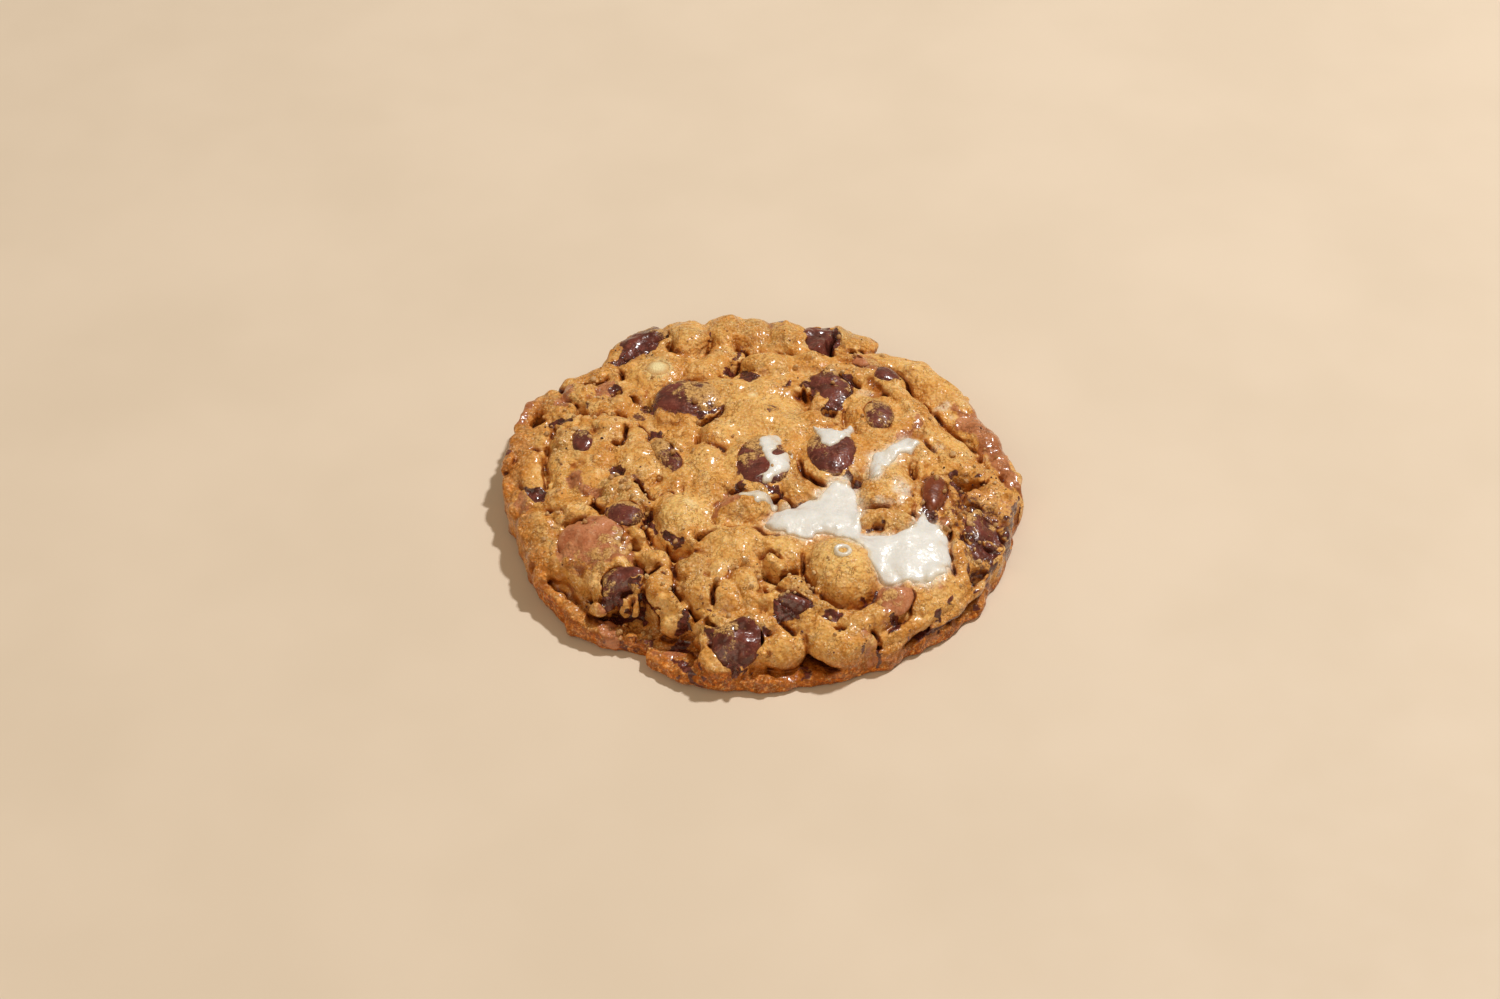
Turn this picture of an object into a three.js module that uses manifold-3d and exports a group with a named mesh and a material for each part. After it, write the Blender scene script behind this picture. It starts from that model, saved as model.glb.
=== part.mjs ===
// A large bakery s'mores cookie: one thick, cobbled disc of baked dough on a
// thin browned skirt, chocolate wafers and chunks sunk into its top, and a
// torn, melted marshmallow lying in a hollow of the crown.
// Millimetres, +Z up, +Y towards the thick side, the origin under the middle
// of the bounding box at the level of the baked underside.

import * as THREE from 'three';
import { mergeVertices } from 'three/addons/utils/BufferGeometryUtils.js';
import Module from 'manifold-3d';

const wasm = await Module();
wasm.setup();

// ---------------------------------------------------------------- sizes ----
const CELL = 2.84;           // spacing of the dough surface grid
const CROWN = 17.0;          // height of the middle of the cookie
const EDGE_BACK = 10.0;      // height of the shoulder on the thick side
const EDGE_FRONT = 3.0;      // height of the shoulder on the thin side
const DOME_RADIUS = 61.0;    // radius at which the crown falls to the edge
const CREVICE = 3.2;         // depth of the valleys between the dough lumps
const BLEND = 0.7;           // softness of the joins between the lumps
const SHOULDER_IN = 2.4;     // the top surface ends this far inside the rim
const SKIRT_BACK = 3.6;      // thickness of the browned skirt, thick side
const SKIRT_LEDGE = 5.6;     // thickness of the skirt where it forms a ledge
const LEDGE_TURN = -135;     // direction of that ledge, degrees
const GAP = 0.3;             // clearance between the dough and what is in it

// Radius of the rim at equal steps of turn, from +X towards +Y.
const RIM = [
  58.9, 58.2, 57.8, 56.5, 55.4, 56.1, 56.1, 54.5, 56.0, 57.2, 56.3, 54.8,
  57.9, 60.2, 59.1, 61.6, 60.4, 58.2, 58.5, 58.9, 61.4, 61.8, 61.5, 61.0,
  61.1, 60.4, 60.5, 60.7, 60.4, 60.4, 60.2, 60.0, 59.6, 58.6, 59.4, 60.8,
  60.9, 60.8, 60.6, 60.6, 60.4, 60.2, 60.2, 60.2, 60.4, 60.4, 60.6, 60.4,
];

// The dough lumps: centre x, y, half length a, b, turn in degrees, and how far
// the lump stands above (or below) the plain crown.
const LUMPS = [
  [-20, 51.5, 6.8, 8.6, 0, 1.2], [-36.5, 43, 5.2, 3.4, 35, 0.2],
  [-41, 37.5, 6.5, 4.6, 30, 0.5], [-26, 34, 9.5, 8.5, 0, 1.0],
  [-14, 31, 6, 6.5, -40, 0.3], [-50, 27, 5.2, 6.6, 20, 0.5],
  [-56.5, 24, 3.4, 7, -10, 0.2], [-43, 27.5, 6, 6, 0, 0.6],
  [-36, 15, 6.4, 7, 20, 0.8], [-34.5, 24, 4.2, 6, -20, 0.6],
  [-56, 12, 4.8, 7.5, 5, 0.3], [-44.5, 7.5, 7, 7, 0, 0.8],
  [-30, 0.5, 6.6, 9, -25, 0.9], [-52, -2, 5, 8, 10, 0.3],
  [-42, -4.5, 6, 6.5, 20, 0.5], [-52, -15.5, 6.5, 6, -20, 0.5],
  [-43, -13.5, 8, 4.5, -30, 0.6], [-31.5, -10.5, 7, 6.5, 20, 0.9],
  [-18.5, -20, 7.5, 10, 15, 1.2], [-14.5, -3, 7, 10, 20, 0.9],
  [-11, 8.5, 6, 6.5, 0, 0.8], [-2, 15, 14, 11.5, 0, 0.9],
  [-10, 38, 6.5, 8, -20, 0.4], [1, 36.5, 8.5, 6.5, 10, 0.9],
  [12, 37, 7.5, 5.6, -5, 0.7], [-9, 53.5, 7.5, 7.5, 0, 0.9],
  [3.5, 51.5, 7, 8.5, 0, 0.9], [24.5, 48.5, 5, 5, 20, 0.6],
  [34, 39, 8, 7, -35, 0.5], [42, 30, 7, 10, 35, 0.5],
  [24.5, 17.5, 6.2, 10, 0, 1.1], [34, 18, 4.8, 12, 15, 0.6],
  [44, 6, 8, 11.5, 25, 0.8], [52, 13, 5.5, 11, 20, 0.2],
  [54, -8, 6.2, 8, -15, 0.6], [28.5, -9, 7.5, 6.8, 0, 1.3],
  [26.8, -18.4, 5.6, 4.2, 0, 0.9], [7.5, -11.5, 5.2, 5, 0, 0.3],
  [-3.8, -17, 6.5, 4.3, -10, 1.3], [16.8, -37.2, 7.7, 8.8, 0, 1.7],
  [-5, -28, 12, 6.8, 0, 0.8], [-15.5, -38, 6.5, 8.5, 10, 0.7],
  [-24.5, -33.5, 5, 6.5, -10, 0.6], [-49, -28, 6.5, 10, 25, 0.3],
  [-40, -35.5, 7, 5, -35, 0.3], [-28.5, -46, 4.8, 4.4, 0, 0.3],
  [-21, -43.5, 5, 8.5, 30, 0.7], [-3, -40.5, 6.5, 8, 0, 0.8],
  [5, -36, 5, 5.5, 0, 0.6], [-5.5, -48.3, 9, 4, 0, 0.7],
  [4.8, -55.4, 5, 4.6, 0, 0.8], [14.5, -53.5, 7.4, 5.2, 5, 0.7],
  [22.5, -49, 8, 3.8, 25, 0.6], [37, -43, 9, 5, 35, 0.5],
  [44, -33.5, 4, 7.5, -15, 0.4], [-16.5, -52, 6.5, 5, -10, 0.4],
  [44, -17, 4.8, 6, 0, 0.3], [54.5, -22, 3.6, 7, -10, 0.2],
];

// Chocolate pieces: name, centre x, y, half sizes a, b, c, turn, and how far
// the piece stands above the plain crown. The kind sets its colour.
const PIECES = [
  ['chip_dark_rear', 'dark', -18, 21, 7.7, 7.2, 3.6, 0, 0.9],
  ['chip_dark_middle', 'dark', -0.8, -1.5, 6.8, 8.6, 4.2, 0, 1.3],
  ['chip_dark_middle_right', 'dark', 15.8, 1.2, 6.2, 8.0, 4.2, 0, 1.2],
  ['chip_dark_left', 'dark', -42.5, 9, 3.3, 5.0, 3.0, 8, 1.9],
  ['chip_dark_front_left', 'dark', -30.2, -17.2, 5.2, 3.9, 3.2, 10, 0.6],
  ['chip_milk_front_left', 'milk', -39.3, -25.4, 7.0, 5.8, 3.4, -25, 1.1],
  ['chip_dark_low_left', 'dark', -31.4, -39.2, 4.6, 3.6, 2.8, -10, 0.8],
  ['chip_dark_front', 'dark', -6.2, -54.6, 5.6, 3.7, 3.2, -8, 0.5],
  ['chip_dark_front_mid', 'dark', 8.8, -45.4, 5.6, 3.5, 2.8, -12, 0.9],
  ['chip_milk_front_right', 'milk', 28.2, -42.6, 4.6, 3.3, 2.6, 30, 1.0],
  ['chip_dark_right', 'dark', 39.3, -12, 3.7, 8.0, 4.0, -8, 0.8],
  ['chip_dark_rear_right', 'dark', 28.9, 31.6, 3.3, 4.2, 3.0, 0, 1.0],
  ['chip_milk_rear_right', 'milk', 22.6, 40.4, 3.9, 4.4, 2.8, 0, 0.8],
  ['chunk_dark_rear_mid', 'dark', 16.4, 26.5, 5.6, 6.6, 3.6, 0, 0.4],
  ['chip_dark_dusted', 'dark', 27.8, 15.5, 3.2, 5.0, 2.8, -5, 1.5],
  ['chunk_dark_back', 'dark', 14.9, 49.0, 3.6, 6.6, 4.0, -8, 0.9],
  ['chunk_dark_back_left', 'dark', -30.2, 48.4, 4.8, 6.2, 3.6, -20, 0.6],
  ['chip_dark_mid_left', 'dark', -21.4, 0.6, 3.2, 5.8, 3.0, 22, 1.0],
  ['chunk_dark_right_rim', 'dark', 47.6, -25.2, 4.4, 6.0, 3.0, -20, 0.4],
  ['chip_white_rear', 'white', -25.4, 35.2, 3.2, 3.4, 2.4, 0, 1.3],
];

// The marshmallow pool: overlapping flat pads, centre x, y, half length a, b,
// turn, and how far the pad's top stands above the plain crown.
const POOL_PADS = [
  [8.6, -21.6, 8.8, 3.9, 12, 0.3], [15.6, -18.6, 5.6, 6.4, 0, 0.5],
  [17.6, -12.8, 2.6, 3.6, 10, 0.3], [22.6, -26.2, 5.4, 3.2, -25, 0.4],
  [18.2, -22.8, 4.6, 3.6, 0, 0.4],
  [31.0, -31.6, 7.4, 6.6, 0, 0.5], [35.6, -30.0, 6.2, 7.6, 0, 0.5],
  [37.6, -24.0, 2.8, 3.6, 15, 0.3],
];
const POOL_HALF = 1.7;       // half thickness of a pad

// The dragged string of marshmallow up the right side of the crown.
const STRING_PADS = [
  [26.0, -4.4, 2.1, 4.2, -8, 1.5], [28.6, 1.2, 2.3, 4.6, -30, 1.4],
  [32.6, 5.0, 1.7, 3.8, -52, 1.3],
];
const STRING_HALF = 1.1;

const COLOURS = {
  dough: [0xb98a4a, 0.62], dark: [0x3a1f1a, 0.34], milk: [0x70402c, 0.4],
  white: [0xe7cf94, 0.5], mallow: [0xf1ece2, 0.32],
};

// ------------------------------------------------------------- helpers -----
const rad = (d) => (d * Math.PI) / 180;
const clamp = (v, lo, hi) => Math.min(hi, Math.max(lo, v));
const smooth = (v) => v * v * (3 - 2 * v);

// Smooth maximum: the larger of two heights, with a soft join.
function joinUp(a, b, k) {
  const h = Math.max(k - Math.abs(a - b), 0) / k;
  return Math.max(a, b) + (h * h * k) / 4;
}

// Radius of the rim in a direction, by a closed Catmull-Rom curve.
function rimRadius(turn) {
  const n = RIM.length;
  const u = (((turn / (2 * Math.PI)) % 1) + 1) % 1 * n;
  const i = Math.floor(u);
  const t = u - i;
  const p = [-1, 0, 1, 2].map((k) => RIM[(i + k + n) % n]);
  return 0.5 * (2 * p[1] + (p[2] - p[0]) * t
    + (2 * p[0] - 5 * p[1] + 4 * p[2] - p[3]) * t * t
    + (3 * p[1] - p[0] - 3 * p[2] + p[3]) * t * t * t);
}

// The plain crown: flat-topped towards the thin side, sloping off earlier
// towards the thick side.
function crown(x, y) {
  const r = Math.hypot(x, y);
  const side = y / Math.max(r, 1e-6);
  const t = smooth(clamp((side + 0.6) / 0.7, 0, 1));
  const edge = EDGE_FRONT + (EDGE_BACK - EDGE_FRONT) * t;
  const p = clamp(r / DOME_RADIUS, 0, 1);
  const full = edge + (CROWN - edge) * Math.sqrt(Math.max(0, 1 - p ** 4));
  const slope = edge + (CROWN - edge) * (1 - p ** 2.5);
  return full * (1 - t) + slope * t;
}

// How far across an ellipse a point lies: 0 at the centre, 1 on its edge.
function across(x, y, cx, cy, a, b, turn) {
  const c = Math.cos(rad(turn));
  const s = Math.sin(rad(turn));
  const u = ((x - cx) * c + (y - cy) * s) / a;
  const v = ((y - cy) * c - (x - cx) * s) / b;
  return Math.hypot(u, v);
}

// The cobbled top of the dough.
function doughTop(x, y) {
  let z = crown(x, y) - CREVICE;
  for (const [cx, cy, a, b, turn, rise] of LUMPS) {
    const q = across(x, y, cx, cy, a * 1.06, b * 1.06, turn);
    if (q >= 1) continue;
    const peak = crown(cx, cy) + rise * 0.8;
    const tilt = (crown(x, y) - crown(cx, cy)) * 0.75;
    const bulge = Math.min(0.55 * Math.min(a, b), 4.2);
    z = joinUp(z, peak + tilt - bulge * (1 - Math.sqrt(1 - q * q)), BLEND);
  }
  // the dough stays under the marshmallow that lies on it
  for (const [cx, cy, a, b, turn, rise] of POOL_PADS) {
    const q = across(x, y, cx, cy, a, b, turn);
    if (q < 1) z = Math.min(z, crown(cx, cy) + rise - 0.9);
  }
  return z;
}

// The browned skirt under the dough lumps: its thickness round the rim.
function skirtTop(turn) {
  const d = Math.abs(((turn - rad(LEDGE_TURN)) / Math.PI + 3) % 2 - 1) * 180;
  const ledge = smooth(clamp(1 - d / 34, 0, 1));
  return SKIRT_BACK + (SKIRT_LEDGE - SKIRT_BACK) * ledge
    + 0.35 * Math.sin(turn * 7) + 0.25 * Math.sin(turn * 13 + 1);
}
function skirtOut(turn) {
  const front = smooth(clamp((-Math.sin(turn) + 0.15) / 0.8, 0, 1));
  return -1.2 + 1.2 * front + 0.25 * Math.sin(turn * 11 + 2)
    + 0.2 * Math.sin(turn * 19);
}

// Fills the band between two rings of points that go round the same way.
function bridge(outer, inner, faces) {
  const no = outer.length;
  const ni = inner.length;
  let i = 0;
  let j = 0;
  while (i < no || j < ni) {
    if (j >= ni || (i < no && (i + 1) / no <= (j + 1) / ni)) {
      faces.push(outer[i % no], outer[(i + 1) % no], inner[j % ni]);
      i += 1;
    } else {
      faces.push(outer[i % no], inner[(j + 1) % ni], inner[j % ni]);
      j += 1;
    }
  }
}

// The dough as one closed body: cobbled top, overhanging rim, skirt, flat base.
function doughBody() {
  const pts = [];
  const faces = [];
  const ring = (n, place) => {
    const out = [];
    for (let k = 0; k < n; k += 1) {
      out.push(pts.length / 3);
      pts.push(...place((2 * Math.PI * k) / n));
    }
    return out;
  };
  const at = (turn, r, z) => [r * Math.cos(turn), r * Math.sin(turn), z];
  const rows = Math.round((DOME_RADIUS - SHOULDER_IN) / CELL);
  const count = (f) => Math.max(6, Math.round((2 * Math.PI * 59 * f) / CELL));

  // top, from the rim inwards
  let last = null;
  const tops = [];
  for (let i = rows; i >= 1; i -= 1) {
    const f = i / rows;
    const r = ring(count(f), (turn) => {
      const rr = f * (rimRadius(turn) - SHOULDER_IN);
      const x = rr * Math.cos(turn);
      const y = rr * Math.sin(turn);
      return [x, y, Math.max(doughTop(x, y), skirtTop(turn) + 2.2)];
    });
    if (last) bridge(last, r, faces);
    last = r;
    tops.push(r);
  }
  const centre = pts.length / 3;
  pts.push(0, 0, doughTop(0, 0));
  for (let k = 0; k < last.length; k += 1) {
    faces.push(last[k], last[(k + 1) % last.length], centre);
  }

  // side: shoulder, bulge, crease, skirt and the turned-under foot
  const n = tops[0].length;
  const edgeZ = (turn) => {
    const rr = rimRadius(turn) - SHOULDER_IN;
    return Math.max(doughTop(rr * Math.cos(turn), rr * Math.sin(turn)),
      skirtTop(turn) + 2.2);
  };
  const rowsDown = [
    (t) => at(t, rimRadius(t) - 0.6,
      skirtTop(t) + (edgeZ(t) - skirtTop(t)) * 0.72),
    (t) => at(t, rimRadius(t),
      skirtTop(t) + (edgeZ(t) - skirtTop(t)) * 0.36),
    (t) => at(t, rimRadius(t) - 1.5, skirtTop(t) + 0.3),
    (t) => at(t, rimRadius(t) + skirtOut(t) - 0.4, skirtTop(t) - 0.6),
    (t) => at(t, rimRadius(t) + skirtOut(t), skirtTop(t) * 0.42),
    (t) => at(t, rimRadius(t) + skirtOut(t) - 1.5, 0),
  ];
  let above = tops[0];
  for (const place of rowsDown) {
    const r = ring(n, place);
    bridge(r, above, faces);
    above = r;
  }

  // flat baked base, down to one triangle under the middle
  const steps = [[0.5, 0.72], [0.25, 0.46], [0.1, 0.2]];
  for (const [share, f] of steps) {
    const r = ring(Math.round(n * share), (t) =>
      at(t, (rimRadius(t) - 1.6) * f, 0));
    bridge(r, above, faces);
    above = r;
  }
  const mid = ring(3, (t) => at(t, 5, 0));
  bridge(mid, above, faces);
  faces.push(mid[0], mid[2], mid[1]);

  const g = new THREE.BufferGeometry();
  g.setAttribute('position', new THREE.Float32BufferAttribute(pts, 3));
  g.setIndex(faces);
  return g;
}

// A chocolate wafer: a round-edged disc, domed above and flatter below.
// With lift, its upper half is raised, which makes an open socket.
function wafer(a, b, c, turn, sides, rows, lift = 0) {
  const g = new THREE.SphereGeometry(1, sides, rows);
  g.rotateX(Math.PI / 2);
  const p = g.attributes.position;
  for (let i = 0; i < p.count; i += 1) {
    const x = p.getX(i);
    const y = p.getY(i);
    const z = p.getZ(i);
    const d = Math.hypot(x, y);
    const wide = d > 1e-6 ? d ** 0.8 / d : 1;
    p.setXYZ(i, x * wide * a, y * wide * b,
      z * c * (z > 0 ? 1 : 0.9) + (z > 1e-3 ? lift : 0));
  }
  g.rotateZ(rad(turn));
  g.deleteAttribute('normal');
  g.deleteAttribute('uv');
  return mergeVertices(g, 1e-3);
}

function toSolid(g) {
  return new wasm.Manifold(new wasm.Mesh({
    numProp: 3,
    vertProperties: new Float32Array(g.attributes.position.array),
    triVerts: new Uint32Array(g.index.array),
  }));
}

function toGeometry(solid) {
  const m = solid.getMesh();
  const out = new THREE.BufferGeometry();
  const n = m.vertProperties.length / m.numProp;
  const pos = new Float32Array(n * 3);
  for (let i = 0; i < n; i += 1) {
    for (let k = 0; k < 3; k += 1) {
      pos[i * 3 + k] = m.vertProperties[i * m.numProp + k];
    }
  }
  out.setAttribute('position', new THREE.BufferAttribute(pos, 3));
  out.setIndex(Array.from(m.triVerts));
  out.deleteAttribute('normal');
  return out;
}

// ------------------------------------------------------------- assembly ----
const group = new THREE.Group();

function addMesh(name, geometry, kind) {
  const [colour, roughness] = COLOURS[kind];
  geometry.computeVertexNormals();
  const mesh = new THREE.Mesh(geometry, new THREE.MeshStandardMaterial({
    color: colour, roughness, metalness: 0,
  }));
  mesh.name = name;
  group.add(mesh);
  return mesh;
}

let dough = toSolid(doughBody());

for (const [name, kind, x, y, a, b, c, turn, rise] of PIECES) {
  const z = crown(x, y) + rise - c;
  const grid = Math.min(a, b) < 5.5 ? [10, 4] : [12, 6];
  const body = wafer(a, b, c, turn, ...grid).translate(x, y, z);
  // the socket is open upwards, so no skin of dough is left over the piece
  const socket = wafer(a + GAP * 1.15, b + GAP * 1.15, c + GAP * 1.1, turn,
    ...grid, c).translate(x, y, z);
  dough = dough.subtract(toSolid(socket));
  addMesh(name, body, kind);
}

function padBody(pads, half, grow, lift = 0) {
  let whole = null;
  for (const [x, y, a, b, turn, rise] of pads) {
    const pad = wafer(a + grow, b + grow, half + grow, turn, 10, 4, lift)
      .translate(x, y, crown(x, y) + rise - half);
    const solid = toSolid(pad);
    whole = whole ? whole.add(solid) : solid;
  }
  return whole;
}

for (const [name, pads, half] of [
  ['marshmallow_pool', POOL_PADS, POOL_HALF],
  ['marshmallow_string', STRING_PADS, STRING_HALF],
]) {
  const body = padBody(pads, half, 0);
  dough = dough.subtract(padBody(pads, half, GAP * 1.2, half));
  addMesh(name, toGeometry(body), 'mallow');
}

// keep only the largest body: no loose slivers of dough
const bodies = dough.decompose();
bodies.sort((p, q) => q.volume() - p.volume());
dough = bodies[0];
addMesh('cookie_dough', toGeometry(dough), 'dough');

// stand the cookie on its base with the origin under the middle of its box
const box = new THREE.Box3().setFromObject(group);
const middle = box.getCenter(new THREE.Vector3());
group.position.set(-middle.x, -middle.y, -box.min.z);
group.updateMatrixWorld(true);

export default group;
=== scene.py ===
import bpy
import math
import numpy as np
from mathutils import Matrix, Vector


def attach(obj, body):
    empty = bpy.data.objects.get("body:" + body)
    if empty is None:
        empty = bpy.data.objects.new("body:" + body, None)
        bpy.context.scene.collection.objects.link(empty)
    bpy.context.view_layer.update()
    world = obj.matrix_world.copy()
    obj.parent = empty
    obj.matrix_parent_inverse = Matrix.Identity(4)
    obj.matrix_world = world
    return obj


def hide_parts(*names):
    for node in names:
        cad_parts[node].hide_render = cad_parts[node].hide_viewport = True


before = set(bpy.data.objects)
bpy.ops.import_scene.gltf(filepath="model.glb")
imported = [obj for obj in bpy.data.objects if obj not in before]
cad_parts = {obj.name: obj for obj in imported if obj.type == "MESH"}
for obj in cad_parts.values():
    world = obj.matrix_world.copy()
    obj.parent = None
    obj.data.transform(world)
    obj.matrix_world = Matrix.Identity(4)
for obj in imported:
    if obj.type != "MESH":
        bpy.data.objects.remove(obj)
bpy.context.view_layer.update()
MM = 0.001

# The tables below are in millimetres about the middle of the cookie's crown.
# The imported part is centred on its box, which lies this far from it.
SHIFT = np.array([0.628, 0.680, 0.0])

VOX = 0.34      # sculpting grid for the dough
VOX_S = 0.28    # sculpting grid for the small pieces


# ------------------------------------------------------------- numbers ------
def smoothstep(a, b, x):
    t = np.clip((x - a) / (b - a), 0.0, 1.0)
    return t * t * (3.0 - 2.0 * t)


def smin(a, b, k):
    h = np.clip(0.5 + 0.5 * (b - a) / k, 0.0, 1.0)
    return b + (a - b) * h - k * h * (1.0 - h)


def smax(a, b, k):
    return -smin(-a, -b, k)


def _weights(coords, lo, step, n):
    u = (coords - lo) / step + 1.0
    i = np.floor(u).astype(int)
    t = u - i
    w = np.zeros((len(coords), n), np.float32)
    rows = np.arange(len(coords))
    for k, v in enumerate([(1 - t) ** 3 / 6, (3 * t ** 3 - 6 * t ** 2 + 4) / 6,
                           (-3 * t ** 3 + 3 * t ** 2 + 3 * t + 1) / 6, t ** 3 / 6]):
        w[rows, np.clip(i - 1 + k, 0, n - 1)] += v
    return w


def noise(axes, wave, seed):
    """Smooth noise with unit spread on the grid of the given axes."""
    rng = np.random.RandomState(seed)
    mats, dims = [], []
    for a in axes:
        n = int((a[-1] - a[0]) / wave) + 5
        mats.append(_weights(a, a[0] - wave, wave, n))
        dims.append(n)
    f = rng.standard_normal(dims).astype(np.float32)
    for m in mats:
        f = np.tensordot(m, f, axes=(1, 0))
        f = np.moveaxis(f, 0, -1)
    return f / max(float(f.std()), 1e-6)


class Grid:
    def __init__(self, lo, hi, h):
        self.h = h
        self.lo = np.array(lo, float)
        n = [int(math.ceil((b - a) / h)) + 1 for a, b in zip(lo, hi)]
        self.ax = [a + h * np.arange(k) for a, k in zip(lo, n)]
        self.shape = tuple(n)
        self.X = self.ax[0][:, None, None].astype(np.float32)
        self.Y = self.ax[1][None, :, None].astype(np.float32)
        self.Z = self.ax[2][None, None, :].astype(np.float32)

    def window(self, c, r):
        s = []
        for k in range(3):
            a = int(np.floor((c[k] - r[k] - self.lo[k]) / self.h))
            b = int(np.ceil((c[k] + r[k] - self.lo[k]) / self.h)) + 1
            s.append(slice(max(a, 0), min(max(b, 0), self.shape[k])))
        return tuple(s)

    def sample(self, f, p):
        """Trilinear values of f at points p (n, 3)."""
        u = [(p[:, k] - self.lo[k]) / self.h for k in range(3)]
        i = [np.clip(np.floor(v).astype(int), 0, self.shape[k] - 2)
             for k, v in enumerate(u)]
        t = [np.clip(v - j, 0, 1) for v, j in zip(u, i)]
        out = 0
        for dx in (0, 1):
            wx = t[0] if dx else 1 - t[0]
            for dy in (0, 1):
                wy = t[1] if dy else 1 - t[1]
                for dz in (0, 1):
                    wz = t[2] if dz else 1 - t[2]
                    out = out + wx * wy * wz * f[i[0] + dx, i[1] + dy, i[2] + dz]
        return out


def blur(f, times=1):
    for _ in range(times):
        for ax in range(f.ndim):
            g = f.copy()
            a = [slice(None)] * f.ndim
            b = [slice(None)] * f.ndim
            c = [slice(None)] * f.ndim
            a[ax], b[ax], c[ax] = slice(1, -1), slice(0, -2), slice(2, None)
            g[tuple(a)] = 0.5 * f[tuple(a)] + 0.25 * (f[tuple(b)] + f[tuple(c)])
            f = g
    return f


def surface_net(f, grid):
    """Closed quad mesh of the zero surface of f: (points, quads)."""
    s = f < 0
    nx, ny, nz = f.shape
    corners = [(i, j, k) for i in (0, 1) for j in (0, 1) for k in (0, 1)]
    sub = lambda a, i, j, k: a[i:nx - 1 + i, j:ny - 1 + j, k:nz - 1 + k]
    cnt = np.zeros((nx - 1, ny - 1, nz - 1), np.int8)
    for c in corners:
        cnt += sub(s, *c)
    cell = np.argwhere((cnt > 0) & (cnt < 8))
    if len(cell) == 0:
        return np.zeros((0, 3)), np.zeros((0, 4), int)
    ids = -np.ones((nx - 1, ny - 1, nz - 1), np.int64)
    ids[cell[:, 0], cell[:, 1], cell[:, 2]] = np.arange(len(cell))
    acc = np.zeros((len(cell), 3))
    num = np.zeros(len(cell))
    vals = {c: f[cell[:, 0] + c[0], cell[:, 1] + c[1], cell[:, 2] + c[2]]
            for c in corners}
    for a in corners:
        for ax in range(3):
            if a[ax]:
                continue
            b = list(a)
            b[ax] = 1
            va, vb = vals[a], vals[tuple(b)]
            m = (va < 0) != (vb < 0)
            t = np.where(m, va / np.where(m, va - vb, 1.0), 0.0)
            p = np.zeros((len(cell), 3))
            p[:] = a
            p[:, ax] += t
            acc += p * m[:, None]
            num += m
    pts = grid.lo + (cell + acc / num[:, None]) * grid.h
    quads = []
    for ax in range(3):
        u, v = [(1, 2), (2, 0), (0, 1)][ax]
        lo = [slice(1, -1)] * 3
        lo[ax] = slice(0, -1)
        hi = list(lo)
        hi[ax] = slice(1, None)
        a, b = s[tuple(lo)], s[tuple(hi)]
        e = np.argwhere(a != b)
        off = np.ones(3, int)
        off[ax] = 0
        e = e + off
        inside = s[e[:, 0], e[:, 1], e[:, 2]]

        def cid(du, dv):
            q = e.copy()
            q[:, u] -= du
            q[:, v] -= dv
            return ids[q[:, 0], q[:, 1], q[:, 2]]

        q = np.stack([cid(1, 1), cid(0, 1), cid(0, 0), cid(1, 0)], 1)
        q[~inside] = q[~inside][:, ::-1]
        quads.append(q)
    quads = np.concatenate(quads)
    quads = quads[(quads >= 0).all(1)]
    return pts, quads


def largest_part(pts, quads, keep_min=None):
    """Drops loose specks: keeps the biggest connected part, or all parts with
    at least keep_min faces."""
    n = len(pts)
    lab = np.arange(n)
    for _ in range(400):
        m = lab[quads].min(1)
        new = lab.copy()
        for k in range(4):
            np.minimum.at(new, quads[:, k], m)
        new = new[new]
        if (new == lab).all():
            break
        lab = new
    roots, inv, count = np.unique(lab[quads[:, 0]], return_inverse=True,
                                  return_counts=True)
    good = (count >= keep_min) if keep_min else (count == count.max())
    quads = quads[good[inv]]
    used = np.zeros(n, bool)
    used[quads.ravel()] = True
    remap = np.cumsum(used) - 1
    return pts[used], remap[quads]


def relax(pts, quads, times, amount=0.5, weight=None):
    """Moves each point towards the mean of its neighbours."""
    e = np.concatenate([quads[:, [0, 1]], quads[:, [1, 2]], quads[:, [2, 3]],
                        quads[:, [3, 0]]])
    e = np.concatenate([e, e[:, ::-1]])
    deg = np.bincount(e[:, 0], minlength=len(pts)).astype(float)
    w = amount if weight is None else amount * weight[:, None]
    for _ in range(times):
        acc = np.stack([np.bincount(e[:, 0], pts[e[:, 1], k], len(pts))
                        for k in range(3)], 1)
        pts = pts + (acc / deg[:, None] - pts) * w
    return pts


def segment_distance(x, y, line):
    """Distance from points to a polyline, and the length along it (0..1)."""
    line = np.array(line, float)
    seg = np.hypot(*(line[1:] - line[:-1]).T)
    total = seg.sum()
    best = np.full(x.shape, 1e6)
    along = np.zeros(x.shape)
    run = 0.0
    for (ax, ay), (bx, by), ln in zip(line[:-1], line[1:], seg):
        t = np.clip(((x - ax) * (bx - ax) + (y - ay) * (by - ay)) / (ln * ln), 0, 1)
        d = np.hypot(x - ax - t * (bx - ax), y - ay - t * (by - ay))
        m = d < best
        best = np.where(m, d, best)
        along = np.where(m, (run + t * ln) / total, along)
        run += ln
    return best, along


# ---------------------------------------------------------------- form ------
CROWN, EDGE_BACK, EDGE_FRONT, DOME_R = 17.0, 10.0, 3.0, 61.0
VALLEY = 1.3                       # depth of the plain body under the lumps

RIM = [
    58.9, 58.2, 57.8, 56.5, 55.4, 56.1, 56.1, 54.5, 56.0, 57.2, 56.3, 54.8,
    57.9, 60.2, 59.1, 61.6, 60.4, 58.2, 58.5, 58.9, 61.4, 61.8, 61.5, 61.0,
    61.1, 60.4, 60.5, 60.7, 60.4, 60.4, 60.2, 60.0, 59.6, 58.6, 59.4, 60.8,
    60.9, 60.8, 60.6, 60.6, 60.4, 60.2, 60.2, 60.2, 60.4, 60.4, 60.6, 60.4]

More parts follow.
